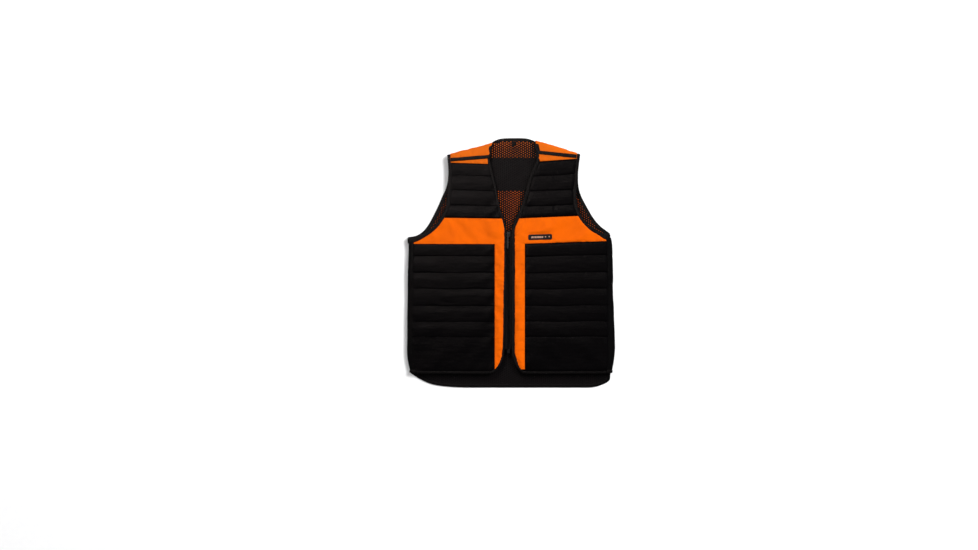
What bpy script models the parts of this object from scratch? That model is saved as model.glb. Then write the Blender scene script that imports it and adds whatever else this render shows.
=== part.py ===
"""A hunter's safety vest that lies flat on its back, front side up, with its front zip closed.

X runs across the vest, +X towards the wearer's left. Y runs from the hem to the neck. Z is up, and the
vest rests on z = 0. Left and right are the wearer's. Each front turns back along a diagonal crease from
the neck point to the hem, so its panels are cut there into a part on the side and a part on the flap.
"""

import math

import bmesh
import bpy
from mathutils import Vector

MM = 0.001

# Gaps between pieces that touch on the real vest, and along the two creases.
GAP = 0.3 * MM
CREASE_GAP = 1.5 * MM

# Heights of the layers, from the ground up.
SHELL = 2.5 * MM
LINING = 1.0 * MM
WADDING = 4.0 * MM
BACK_BINDING_TOP = 4.1 * MM
FRONT_LINING_Z = 14.5 * MM
FRONT_WADDING_Z = FRONT_LINING_Z + LINING + GAP
FRONT_SHELL_Z = FRONT_WADDING_Z + WADDING + GAP
FRONT_TOP = FRONT_SHELL_Z + SHELL
FRONT_BINDING_TOP = FRONT_TOP + 0.9 * MM
FOLD_AXIS_Z = FRONT_BINDING_TOP + 2.0 * MM

# Widths of the bindings.
RIM_BINDING = 7.5 * MM
ARM_BINDING = 10 * MM
NECK_BINDING = 9 * MM
HEM_BINDING = 10 * MM
STRIPE = 7 * MM

# Seams across the back.
BACK_YOKE_SEAM = 0.306
BACK_BAND_TOP = 0.209
BACK_BAND_BOTTOM = 0.055

# The zip.
ZIP_X = -7.5 * MM
ZIP_TOP = 0.0915
ZIP_BOTTOM = -0.268
TAPE_Z = 15.0 * MM
TAPE = 1.2 * MM
TOOTH_THICK = 3.0 * MM
TOOTH_INNER = 1.0 * MM
TOOTH_ROOT = 2.2 * MM
TOOTH_OUTER = 3.6 * MM
TOOTH_PITCH = 4.8 * MM
TOOTH_HIGH = 2.8 * MM
STOP_LONG = 3.0 * MM
BOX_LONG = 10 * MM
PIN_LONG = 17 * MM
SLIDER_LONG = 14 * MM
SLIDER_HALF = 5.2 * MM
SLIDER_WALL = 1.5 * MM
FLANGE = 0.8 * MM
POST_HALF = 0.6 * MM
ARCH_HALF = 0.9 * MM
TAB_THICK = 1.2 * MM
TAB_LONG = 42 * MM

# Key points of each side, going from the neck or the shoulder towards the hem.
SIDES = {
    "right": {
        "sign": -1,
        "rim": [
            (-0.0620, 0.2990), (-0.0510, 0.2520), (-0.0406, 0.2050), (-0.0318, 0.1600), (-0.0205, 0.1270),
            (-0.0150, 0.1050), (-0.0136, 0.0850), (-0.0140, 0.0000), (-0.0160, -0.1300), (-0.0190, -0.2600),
            (-0.0245, -0.2880), (-0.0350, -0.3090), (-0.0490, -0.3230), (-0.0680, -0.3280),
            (-0.1600, -0.3280), (-0.2400, -0.3275), (-0.2795, -0.3262),
        ],
        "front_armhole": [
            (-0.1880, 0.3140), (-0.1845, 0.2800), (-0.1840, 0.2400), (-0.1860, 0.2000), (-0.1925, 0.1620),
            (-0.2100, 0.1300),
            (-0.2323, 0.1035), (-0.2560, 0.0860), (-0.2800, 0.0770), (-0.3000, 0.0740),
        ],
        "back_armhole": [
            (-0.1885, 0.3140), (-0.1847, 0.2850), (-0.1850, 0.2500), (-0.1900, 0.2200), (-0.2006, 0.1959),
            (-0.2185, 0.1553), (-0.2409, 0.1126), (-0.2588, 0.0900), (-0.2794, 0.0770), (-0.3000, 0.0740),
        ],
        "outline": [
            (-0.3005, 0.0636), (-0.3030, -0.0300), (-0.3050, -0.1300), (-0.3059, -0.2200), (-0.3050, -0.2750),
            (-0.2955, -0.3260),
        ],
        "tail": [(-0.2925, -0.3270), (-0.2665, -0.3465), (-0.2335, -0.3585), (-0.1900, -0.3647)],
        "fold": [(-0.0603, 0.3485), (-0.1758, 0.3165)],
        "stripe": [(-0.0706, 0.3088), (-0.1755, 0.3000)],
        "chest_seam": [(-0.0706, 0.2876), (-0.1735, 0.2912)],
        "band_top": [(0.0, 0.1265), (-0.1959, 0.1294)],
        "band_bottom": [(0.0, 0.0544), (-0.2815, 0.0553)],
        "strip_edge": -0.0479,
        "crease": [(-0.0690, 0.2970), (-0.2529, -0.3280)],
    },
    "left": {
        "sign": 1,
        "rim": [
            (0.0755, 0.2990), (0.0620, 0.2700), (0.0509, 0.2400), (0.0418, 0.2050), (0.0285, 0.1600),
            (0.0130, 0.1270), (0.0040, 0.1050), (0.0013, 0.0850), (0.0013, 0.0000), (0.0013, -0.1300),
            (0.0013, -0.2588), (0.0060, -0.2850), (0.0150, -0.3060), (0.0290, -0.3220), (0.0480, -0.3280),
            (0.1500, -0.3280), (0.2400, -0.3275), (0.2795, -0.3262),
        ],
        "front_armhole": [
            (0.2035, 0.3165), (0.1985, 0.2800), (0.1950, 0.2400), (0.1918, 0.2088), (0.1935, 0.1700),
            (0.2060, 0.1370),
            (0.2235, 0.1140), (0.2440, 0.0960), (0.2700, 0.0850), (0.2985, 0.0810),
        ],
        "back_armhole": [
            (0.2035, 0.3165), (0.1994, 0.2859), (0.1975, 0.2500), (0.1990, 0.2200), (0.2070, 0.1930),
            (0.2220, 0.1644), (0.2400, 0.1330), (0.2603, 0.1082), (0.2782, 0.0940), (0.2985, 0.0850),
        ],
        "outline": [
            (0.2990, 0.0706), (0.2992, -0.0300), (0.3010, -0.1100), (0.3059, -0.2200), (0.3040, -0.2750),
            (0.2955, -0.3260),
        ],
        "tail": [(0.2912, -0.3270), (0.2905, -0.3435), (0.2706, -0.3556), (0.2400, -0.3647)],
        "fold": [(0.0765, 0.3544), (0.1912, 0.3192)],
        "stripe": [(0.0835, 0.3220), (0.1908, 0.3100)],
        "chest_seam": [(0.0823, 0.2950), (0.1912, 0.3029)],
        "band_top": [(0.0, 0.1265), (0.2059, 0.1353)],
        "band_bottom": [(0.0, 0.0544), (0.2823, 0.0638)],
        "strip_edge": 0.0403,
        "crease": [(0.0845, 0.2970), (0.2529, -0.3280)],
    },
}
NECK_EDGE = [
    (-0.0600, 0.3480), (-0.0470, 0.3575), (-0.0270, 0.3635), (0.0080, 0.3647), (0.0430, 0.3640),
    (0.0620, 0.3590), (0.0760, 0.3525),
]
LABEL_CENTRE = (0.0853, 0.0730)
LABEL_LONG = 70 * MM
LABEL_HIGH = 15 * MM
LABEL_TILT = math.radians(1.5)
LOOP_CENTRE_X = 8 * MM
LOOP_WIDE = 11 * MM
LOOP_LONG = 13 * MM
GUSSET_DEEP = 15 * MM

COLOURS = {
    "black_fabric": ((0.012, 0.012, 0.014), 0.85, 0.0),
    "orange_fabric": ((0.90, 0.16, 0.005), 0.7, 0.0),
    "black_mesh": ((0.02, 0.018, 0.018), 0.9, 0.0),
    "black_tape": ((0.009, 0.009, 0.010), 0.75, 0.0),
    "wadding": ((0.75, 0.74, 0.70), 0.95, 0.0),
    "zip_plastic": ((0.013, 0.013, 0.014), 0.4, 0.0),
    "zip_metal": ((0.06, 0.06, 0.065), 0.4, 0.8),
}


def clear_scene():
    for item in list(bpy.data.objects):
        bpy.data.objects.remove(item, do_unlink=True)


def material(name):
    found = bpy.data.materials.get(name)
    if found:
        return found
    colour, roughness, metallic = COLOURS[name]
    made = bpy.data.materials.new(name)
    made.use_nodes = True
    shader = made.node_tree.nodes["Principled BSDF"]
    shader.inputs["Base Color"].default_value = (*colour, 1.0)
    shader.inputs["Roughness"].default_value = roughness
    shader.inputs["Metallic"].default_value = metallic
    made.diffuse_color = (*colour, 1.0)
    return made


def empty(name, location):
    made = bpy.data.objects.new(name, None)
    made.location = location
    made.empty_display_size = 0.02
    bpy.context.scene.collection.objects.link(made)
    return made


def finish_node(name, mesh, centre, colour, parent=None):
    """Links the mesh, which is drawn about centre, as a node under parent."""
    mesh.materials.append(material(colour))
    node = bpy.data.objects.new(name, mesh)
    bpy.context.scene.collection.objects.link(node)
    place = Vector(centre)
    if parent:
        node.parent = parent
        place = place - parent.location
    node.location = place
    return node


def spline(points, steps=3):
    """Points on a smooth curve through the given ones, steps of them to each span."""
    ends = [points[0]] + list(points) + [points[-1]]
    found = []
    for a, b, c, d in zip(ends, ends[1:], ends[2:], ends[3:]):
        for step in range(steps):
            t = step / steps
            found.append(
                tuple(
                    0.5 * (2 * q + (r - p) * t + (2 * p - 5 * q + 4 * r - s) * t**2
                           + (3 * q - p - 3 * r + s) * t**3)
                    for p, q, r, s in zip(a, b, c, d)
                )
            )
    found.append(tuple(points[-1]))
    return found


def shifted(points, distance):
    """The open line moved sideways, to the left of its direction where distance is positive."""
    found = []
    for i, (x, y) in enumerate(points):
        before = points[max(i - 1, 0)]
        after = points[min(i + 1, len(points) - 1)]
        along_x = after[0] - before[0]
        along_y = after[1] - before[1]
        long = math.hypot(along_x, along_y)
        found.append((x - distance * along_y / long, y + distance * along_x / long))
    return found


def clipped(outline, through, keep, inset=0.0):
    """The part of the outline beyond inset from the line between two points, on the side of the point keep."""
    (x0, y0), (x1, y1) = through
    long = math.hypot(x1 - x0, y1 - y0)
    normal = (-(y1 - y0) / long, (x1 - x0) / long)

    def side(point):
        return (point[0] - x0) * normal[0] + (point[1] - y0) * normal[1]

    turn = 1 if side(keep) > 0 else -1
    heights = [turn * side(point) - inset for point in outline]
    found = []
    for i, point in enumerate(outline):
        after = outline[(i + 1) % len(outline)]
        here, there = heights[i], heights[(i + 1) % len(outline)]
        if here >= 0:
            found.append(point)
        if (here >= 0) != (there >= 0):
            share = here / (here - there)
            found.append(tuple(p + share * (q - p) for p, q in zip(point, after)))
    return found


def level(y):
    return [(-1.0, y), (1.0, y)]


def upright(x):
    return [(x, -1.0), (x, 1.0)]


def tidy_outline(outline, nearest=0.05 * MM):
    """The outline without points that repeat the one before, turning anticlockwise."""
    kept = []
    for point in outline:
        if not kept or math.dist(point, kept[-1]) > nearest:
            kept.append(point)
    if math.dist(kept[0], kept[-1]) <= nearest:
        kept.pop()
    turned = sum(p[0] * q[1] - q[0] * p[1] for p, q in zip(kept, kept[1:] + kept[:1]))
    return kept if turned > 0 else kept[::-1]


def slab(name, outline, low, high, colour, parent=None):
    """A flat layer with the outline, between two heights."""
    points = tidy_outline(outline)
    xs = [p[0] for p in points]
    ys = [p[1] for p in points]
    centre = ((min(xs) + max(xs)) / 2, (min(ys) + max(ys)) / 2, low)
    shape = bmesh.new()
    ring = [shape.verts.new((x - centre[0], y - centre[1], 0.0)) for x, y in points]
    base = shape.faces.new(ring)
    raised = bmesh.ops.extrude_face_region(shape, geom=[base])
    tops = [v for v in raised["geom"] if isinstance(v, bmesh.types.BMVert)]
    bmesh.ops.translate(shape, verts=tops, vec=(0.0, 0.0, high - low))
    base.normal_flip()
    bmesh.ops.recalc_face_normals(shape, faces=shape.faces)
    mesh = bpy.data.meshes.new(name)
    shape.to_mesh(mesh)
    shape.free()
    return finish_node(name, mesh, centre, colour, parent)


def loft(name, sections, colour, parent=None):
    """A closed body through sections, which are equal lists of corners in space."""
    centre = sum((Vector(p) for p in sections[0]), Vector()) / len(sections[0])
    shape = bmesh.new()
    rings = [[shape.verts.new(Vector(p) - centre) for p in section] for section in sections]
    for ring, after in zip(rings, rings[1:]):
        for i in range(len(ring)):
            j = (i + 1) % len(ring)
            shape.faces.new((ring[i], ring[j], after[j], after[i]))
    shape.faces.new(rings[0][::-1])
    shape.faces.new(rings[-1])
    shape.normal_update()
    caps = [face for face in shape.faces if len(face.verts) > 4]
    bmesh.ops.triangulate(shape, faces=caps, ngon_method="EAR_CLIP")
    bmesh.ops.recalc_face_normals(shape, faces=shape.faces)
    mesh = bpy.data.meshes.new(name)
    shape.to_mesh(mesh)
    shape.free()
    return finish_node(name, mesh, centre, colour, parent)


def prism_x(name, profile, x_low, x_high, colour, parent=None):
    """A profile of (y, z) corners drawn out along X."""
    return loft(name, [[(x, y, z) for y, z in profile] for x in (x_low, x_high)], colour, parent)


def prism_y(name, profile, y_low, y_high, colour, parent=None):
    """A profile of (x, z) corners drawn out along Y."""
    return loft(name, [[(x, y, z) for x, z in profile] for y in (y_low, y_high)], colour, parent)


def rectangle(x0, x1, y0, y1):
    return [(x0, y0), (x1, y0), (x1, y1), (x0, y1)]


def joined(node, helper):
    """Unites a helper solid with the node."""
    union = node.modifiers.new("join_" + helper.name, "BOOLEAN")
    union.operation = "UNION"
    union.solver = "EXACT"
    union.object = helper
    helper.hide_render = True
    helper.display_type = "WIRE"


def make_back():
    """The back's outer panels, its lining and the bindings along its neck and hem."""
    left, right = SIDES["left"], SIDES["right"]
    neck = spline(NECK_EDGE)
    neck_inner = shifted(neck, -NECK_BINDING)
    slab("neck_binding", neck + neck_inner[::-1], 0.0, BACK_BINDING_TOP, "black_tape")

    hem = spline(right["tail"]) + spline(left["tail"])[::-1]
    hem_inner = shifted(hem, HEM_BINDING)
    hem_inner[0] = (hem[0][0] + HEM_BINDING, hem[0][1])
    hem_inner[-1] = (hem[-1][0] - HEM_BINDING, hem[-1][1])
    slab("back_hem_binding", hem + hem_inner[::-1], 0.0, BACK_BINDING_TOP, "black_tape")

    outline = shifted(neck, -NECK_BINDING - GAP)
    for side in (left, right):
        sign = side["sign"]
        fold_neck, fold_tip = side["fold"]
        arm = shifted(spline(side["back_armhole"]), -sign * (ARM_BINDING + GAP))
        seam = gusset_edge(side, GAP)
        shoulder = [
            (fold_neck[0] - sign * 4 * MM, fold_neck[1] - 12 * MM),
            (fold_tip[0] - sign * 1 * MM, fold_tip[1] - 6 * MM),
        ]
        run = shoulder + [p for p in arm if p[1] < shoulder[1][1] and abs(p[0]) < abs(seam[0][0])] + seam
        outline += run if sign > 0 else []
        if sign > 0:
            tail = shifted(hem, HEM_BINDING + GAP)
            outline += [(x, y) for x, y in tail[::-1] if abs(x) < 0.281]
        else:
            outline += run[::-1]
    centre = (0.0, 0.0)
    top = (0.0, 1.0)
    seam_gap = GAP / 2
    yoke = clipped(outline, level(BACK_YOKE_SEAM), top, seam_gap)
    below = clipped(outline, level(BACK_YOKE_SEAM), centre, seam_gap)
    upper = clipped(below, level(BACK_BAND_TOP), top, seam_gap)
    below = clipped(below, level(BACK_BAND_TOP), centre, seam_gap)
    band = clipped(below, level(BACK_BAND_BOTTOM), top, seam_gap)
    lower = clipped(below, level(BACK_BAND_BOTTOM), (0.0, -1.0), seam_gap)
    slab("back_yoke", yoke, 0.0, SHELL, "orange_fabric")
    slab("back_upper_panel", upper, 0.0, SHELL, "black_fabric")
    slab("back_band", band, 0.0, SHELL, "orange_fabric")
    slab("back_lower_panel", lower, 0.0, SHELL, "black_fabric")
    slab("back_lining", outline, SHELL + GAP, SHELL + GAP + LINING, "black_mesh")


def gusset_edge(side, gap):
    """The seam between a side gusset and the panels beside it, from the armhole to the hem."""
    return shifted(spline(side["outline"], 2), side["sign"] * -(GUSSET_DEEP + gap))


def make_gusset(name, side):
    """The fabric that turns from the back over the side to the front."""
    outer = spline(side["outline"], 2)
    inner = gusset_edge(side, 0.0)
    wall = side["sign"] * SHELL
    top = FRONT_TOP
    sections = []
    for (xo, yo), (xi, yi) in zip(outer, inner):
        sections.append([
            (xi, yi, 0.0), (xo, yo, 0.0), (xo, yo, top), (xi, yi, top),
            (xi, yi, top - SHELL), (xo - wall, yo, top - SHELL), (xo - wall, yo, SHELL), (xi, yi, SHELL),
        ])
    loft(name, sections, "black_fabric")


def make_shoulder(label, side):
    """The yoke's fold over the shoulder, the seam stripe, and the bindings beside them."""
    sign = side["sign"]
    (neck_x, neck_y), (tip_x, tip_y) = side["fold"]
    (stripe_x, stripe_y), (stripe_tip_x, stripe_tip_y) = side["stripe"]
    half = STRIPE / 2
    sections = []
    for fold, front_y, deep, lean in (
        ((neck_x, neck_y), stripe_y + half + GAP, 11 * MM, stripe_x - neck_x),
        ((tip_x, tip_y), stripe_tip_y + half + GAP, 5 * MM, 0.0),
    ):
        x, y = fold
        run = y - front_y

        def at(back, z, x=x, y=y, run=run, lean=lean):
            return (x + lean * back / run, y - back, z)

        sections.append([
            at(deep, 0.0), at(0.0, 0.0), at(0.0, FRONT_TOP), at(run, FRONT_TOP),
            at(run, FRONT_TOP - SHELL), at(SHELL, FRONT_TOP - SHELL), at(SHELL, SHELL), at(deep, SHELL),
        ])
    loft(label + "_shoulder_fold", sections, "orange_fabric")

    stripe = [
        (stripe_x, stripe_y + half), (stripe_tip_x, stripe_tip_y + half),
        (stripe_tip_x, stripe_tip_y - half), (stripe_x, stripe_y - half),
    ]
    slab(label + "_shoulder_stripe", stripe, FRONT_TOP - 4 * MM, FRONT_BINDING_TOP, "black_tape")

    rim_x = side["rim"][0][0]
    neck_run = [
        (neck_x + sign * -0.4 * MM, neck_y - 1 * MM), (stripe_x - sign * GAP, stripe_y + half),
        (stripe_x - sign * 1.8 * MM, side["rim"][0][1] + 1 * MM), (rim_x, side["rim"][0][1] + 1 * MM),
        (neck_x - sign * NECK_BINDING, neck_y - 9 * MM),
    ]
    slab(label + "_shoulder_neck_binding", neck_run, FRONT_LINING_Z, FRONT_BINDING_TOP, "black_tape")


def make_armhole(label, side):
    """The binding along both edges of an armhole."""
    sign = side["sign"]
    for name, key, low, high in (
        ("_armhole_binding_back", "back_armhole", 0.0, BACK_BINDING_TOP),
        ("_armhole_binding_front", "front_armhole", FRONT_LINING_Z, FRONT_BINDING_TOP),
    ):
        edge = spline(side[key])
        slab(label + name, edge + shifted(edge, -sign * ARM_BINDING)[::-1], low, high, "black_tape")


def front_outline(side):
    """A front inside its bindings, from the shoulder stripe to the hem."""
    sign = side["sign"]
    (stripe_x, stripe_y), (tip_x, stripe_tip_y) = side["stripe"]
    half = STRIPE / 2
    rim = shifted(spline(side["rim"]), sign * (RIM_BINDING + GAP))
    arm = shifted(spline(side["front_armhole"]), -sign * (ARM_BINDING + GAP))
    seam = gusset_edge(side, GAP)
    shoulder = [(tip_x - sign * 1.2 * MM, stripe_tip_y - half - GAP), (stripe_x, stripe_y - half - GAP)]
    inside = [p for p in arm if abs(p[0]) < abs(seam[0][0])]
    rim = [p for p in rim if abs(p[0]) < abs(seam[-1][0]) - 1 * MM]
    return [p for p in inside if p[1] < shoulder[0][1]] + seam[1:-1] + rim[::-1] + shoulder[::-1]


def make_front(label, side, crease_empty):
    """The layers of a front, each cut along the crease into its side and its flap."""
    sign = side["sign"]
    far_out = (sign * 1.0, 0.0)
    middle = (-sign * 0.5, 0.0)
    top, bottom = (0.0, 2.0), (0.0, -2.0)
    seam_gap = GAP / 2
    outline = front_outline(side)
    shoulder = clipped(outline, side["chest_seam"], top, seam_gap)
    body = clipped(outline, side["chest_seam"], bottom, seam_gap)
    chest = clipped(body, side["band_top"], top, seam_gap)
    band = clipped(clipped(body, side["band_top"], bottom, seam_gap), side["band_bottom"], top, seam_gap)
    below = clipped(body, side["band_bottom"], bottom, seam_gap)
    strip = clipped(below, upright(side["strip_edge"]), middle, seam_gap)
    lower = clipped(below, upright(side["strip_edge"]), far_out, seam_gap)

    slab(label + "_front_shoulder_piece", shoulder, FRONT_SHELL_Z, FRONT_TOP, "orange_fabric")
    slab(label + "_front_strip", strip, FRONT_SHELL_Z, FRONT_TOP, "orange_fabric", crease_empty)
    layers = (
        ("chest_panel", chest, FRONT_SHELL_Z, FRONT_TOP, "black_fabric"),
        ("chest_band", band, FRONT_SHELL_Z, FRONT_TOP, "orange_fabric"),
        ("lower_panel", lower, FRONT_SHELL_Z, FRONT_TOP, "black_fabric"),
        ("front_wadding", body, FRONT_WADDING_Z, FRONT_WADDING_Z + WADDING, "wadding"),
        ("front_lining", body, FRONT_LINING_Z, FRONT_LINING_Z + LINING, "black_mesh"),
    )
    for name, shape, low, high, colour in layers:
        fixed = clipped(shape, side["crease"], far_out, CREASE_GAP / 2)
        moving = clipped(shape, side["crease"], middle, CREASE_GAP / 2)
        slab(f"{label}_{name}_side", fixed, low, high, colour)
        slab(f"{label}_{name}_flap", moving, low, high, colour, crease_empty)

    rim = spline(side["rim"])
    binding = rim + shifted(rim, sign * RIM_BINDING)[::-1]
    hem = clipped(binding, side["crease"], far_out, CREASE_GAP / 2)
    hem = clipped(hem, level(0.0), bottom)
    edge = clipped(binding, side["crease"], middle, CREASE_GAP / 2)
    binding_z = TAPE_Z + TAPE + GAP
    slab(label + "_hem_binding_side", hem, FRONT_LINING_Z, FRONT_BINDING_TOP, "black_tape")
    slab(label + "_edge_binding", edge, binding_z, FRONT_BINDING_TOP, "black_tape", crease_empty)


def comb(toward, y_low, y_high):
    """The outline of a row of teeth; toward is the sign of the side that it is on."""
    outer = ZIP_X + toward * TOOTH_OUTER
    root = ZIP_X + toward * TOOTH_ROOT
    tip = ZIP_X + toward * TOOTH_INNER
    points = [(outer, y_high), (outer, y_low)]
    count = int((y_high - y_low) / TOOTH_PITCH)
    for i in range(count):
        y = y_low + i * TOOTH_PITCH
        points += [(root, y), (tip, y + 0.3 * MM), (tip, y + TOOTH_HIGH - 0.3 * MM), (root, y + TOOTH_HIGH)]
    points.append((root, y_high))
    return points


def make_zip(fold_empties):
    """Both tapes with their teeth and stops, the retaining box and the insertion pin."""
    mid_z = TAPE_Z + TAPE / 2
    tooth_low, tooth_high = mid_z - TOOTH_THICK / 2, mid_z + TOOTH_THICK / 2
    slider_low = ZIP_TOP - STOP_LONG - GAP - SLIDER_LONG
    box_top = ZIP_BOTTOM + BOX_LONG
    for label, side in SIDES.items():
        sign = side["sign"]
        parent = fold_empties[label]
        stop = rectangle(
            ZIP_X + sign * TOOTH_INNER, ZIP_X + sign * TOOTH_OUTER, ZIP_TOP - STOP_LONG, ZIP_TOP
        )
        slab(label + "_top_stop", stop, tooth_low, tooth_high, "zip_plastic", parent)
        bottom = box_top + 2 * GAP
        if label == "right":
            teeth_low, teeth_high = bottom, ZIP_TOP - STOP_LONG - GAP
        else:
            pin_top = bottom + PIN_LONG
            pin = rectangle(ZIP_X + TOOTH_INNER, ZIP_X + TOOTH_INNER + 2 * MM, bottom, pin_top)
            slab("insertion_pin", pin, mid_z - 1.2 * MM, mid_z + 1.2 * MM, "zip_plastic", parent)
            teeth_low, teeth_high = pin_top + GAP, slider_low - 2 * GAP
        teeth = comb(sign, teeth_low, teeth_high)
        slab(label + "_zip_teeth", teeth, tooth_low, tooth_high, "zip_plastic", parent)

        rim = shifted(spline(side["rim"]), sign * RIM_BINDING)
        edge = [p for p in rim if bottom < p[1] < ZIP_TOP + 30 * MM]
        near = ZIP_X + sign * (TOOTH_OUTER + GAP)
        clear = ZIP_X + sign * (SLIDER_HALF + 2 * GAP)
        inner = [(near, bottom)]
        if label == "left":
            notch_low, notch_high = slider_low - 2 * GAP, ZIP_TOP - STOP_LONG + GAP
            inner += [(near, notch_low), (clear, notch_low), (clear, notch_high), (near, notch_high)]
        inner.append((near, edge[0][1]))
        tape = clipped([(edge[-1][0], bottom)] + inner + edge, level(ZIP_TOP), (0.0, -1.0))
        slab(label + "_zip_tape", tape, TAPE_Z, TAPE_Z + TAPE, "black_tape", parent)

    box = rectangle(ZIP_X - 4.4 * MM, ZIP_X + 4.2 * MM, ZIP_BOTTOM, box_top)
    slab("retaining_box", box, mid_z - 2.2 * MM, mid_z + 2.2 * MM, "zip_plastic", fold_empties["right"])
    return mid_z, slider_low


def make_slider(mid_z, slider_low):
    """The slider, whose plates and flanges run round both rows of teeth, and its pull tab."""
    y_low, y_high = slider_low, slider_low + SLIDER_LONG
    y_mid = (y_low + y_high) / 2
    inside = TOOTH_THICK / 2 + GAP
    outside = inside + SLIDER_WALL
    lip = TAPE / 2 + GAP
    half = SLIDER_HALF
    plates = []
    for name, up in (("slider_body", 1), ("slider_lower_plate", -1)):
        profile = [
            (ZIP_X - half, mid_z + up * lip), (ZIP_X - half, mid_z + up * outside),
            (ZIP_X + half, mid_z + up * outside), (ZIP_X + half, mid_z + up * lip),
            (ZIP_X + half - FLANGE, mid_z + up * lip), (ZIP_X + half - FLANGE, mid_z + up * inside),
            (ZIP_X - half + FLANGE, mid_z + up * inside), (ZIP_X - half + FLANGE, mid_z + up * lip),
        ]
        plates.append(prism_y(name, profile, y_low, y_high, "zip_metal"))
    body, lower = plates
    sunk = 0.4 * MM
    post = [
        (y_high - 4 * MM, mid_z - inside - sunk), (y_high - 0.2 * MM, mid_z - inside - sunk),
        (y_high - 0.2 * MM, mid_z + inside + sunk), (y_high - 4 * MM, mid_z + inside + sunk),
    ]
    joined(body, prism_x("slider_post", post, ZIP_X - POST_HALF, ZIP_X + POST_HALF, "zip_metal"))
    joined(body, lower)

    axis_z = mid_z + outside + GAP + TAB_THICK / 2
    hole = TAB_THICK / 2 + GAP
    arch_in, arch_out = 1.7 * MM, 3.0 * MM
    arch_top = axis_z + hole + 1.2 * MM
    base = mid_z + outside - sunk
    arch = []
    for y, y_inner, z, z_inner in (
        (-arch_out, -arch_in, base, base),
        (-arch_out, -arch_in, arch_top, axis_z + hole),
        (arch_out, arch_in, arch_top, axis_z + hole),
        (arch_out, arch_in, base, base),
    ):
        x_low, x_high = ZIP_X - ARCH_HALF, ZIP_X + ARCH_HALF
        outer, inner = (y_mid + y, z), (y_mid + y_inner, z_inner)
        arch.append([(x_low, *outer), (x_high, *outer), (x_high, *inner), (x_low, *inner)])
    joined(body, loft("slider_arch", arch, "zip_metal"))

    tab_axis = empty("pull_tab_axis", (ZIP_X, y_mid, axis_z))
    eye = 2.8 * MM
    near, far = 0.3 * MM, -5.3 * MM
    end = -TAB_LONG
    outer = [
        (-eye, 0.6 * MM), (-eye, -7 * MM), (far, -12 * MM), (far, end + 4 * MM), (far + 1.2 * MM, end),
        (near - 1.2 * MM, end), (near, end + 4 * MM), (near, -7 * MM), (eye, -5.2 * MM), (eye, 0.6 * MM),
    ]
    outer = [(ZIP_X + x, y_mid + y) for x, y in outer]
    tab_z = axis_z - TAB_THICK / 2
    tab = slab("pull_tab", outer, tab_z, tab_z + TAB_THICK, "zip_metal", tab_axis)
    window = rectangle(ZIP_X - 1.4 * MM, ZIP_X + 1.4 * MM, y_mid - 4.7 * MM, y_mid - 0.6 * MM)
    cutter = slab("pull_tab_window", window, tab_z - TAB_THICK, tab_z + 2 * TAB_THICK, "zip_metal")
    joined(tab, cutter)
    tab.modifiers[-1].operation = "DIFFERENCE"


def make_label(parent):
    """The small patch on the wearer's left chest band."""
    x, y = LABEL_CENTRE
    half_long, half_high, corner = LABEL_LONG / 2, LABEL_HIGH / 2, 4 * MM
    points = []
    for quarter, (cx, cy) in enumerate(((1, 1), (-1, 1), (-1, -1), (1, -1))):
        for step in range(4):
            turn = math.radians(90 * quarter + 30 * step)
            across = cx * (half_long - corner) + corner * math.cos(turn)
            up = cy * (half_high - corner) + corner * math.sin(turn)
            points.append((
                x + across * math.cos(LABEL_TILT) - up * math.sin(LABEL_TILT),
                y + across * math.sin(LABEL_TILT) + up * math.cos(LABEL_TILT),
            ))
    slab("label_patch", points, FRONT_TOP + GAP, FRONT_TOP + GAP + 1.2 * MM, "black_tape", parent)


def make_hang_loop():
    """The folded tape at the middle of the back neck, hinged at its sewn end."""
    y = NECK_EDGE[3][1] - NECK_BINDING - 1.6 * MM
    low = SHELL + GAP + LINING + GAP + GAP
    thick = 2.0 * MM
    axis = empty("hang_loop_axis", (LOOP_CENTRE_X, y, low + thick / 2))
    shape = rectangle(LOOP_CENTRE_X - LOOP_WIDE / 2, LOOP_CENTRE_X + LOOP_WIDE / 2, y - LOOP_LONG, y)
    slab("hang_loop", shape, low, low + thick, "black_tape", axis)


def main():
    clear_scene()
    make_back()
    make_hang_loop()
    fold_empties = {}
    for label, side in SIDES.items():
        (x0, y0), (x1, y1) = side["crease"]
        axis = empty(label + "_front_fold_axis", ((x0 + x1) / 2, (y0 + y1) / 2, FOLD_AXIS_Z))
        fold_empties[label] = axis
        make_gusset(label + "_side_gusset", side)
        make_shoulder(label, side)
        make_armhole(label, side)
        make_front(label, side, axis)
    make_label(fold_empties["left"])
    mid_z, slider_low = make_zip(fold_empties)
    make_slider(mid_z, slider_low)


main()
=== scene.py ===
import math

import bmesh
import bpy
import numpy as np
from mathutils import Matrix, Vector, noise


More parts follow.
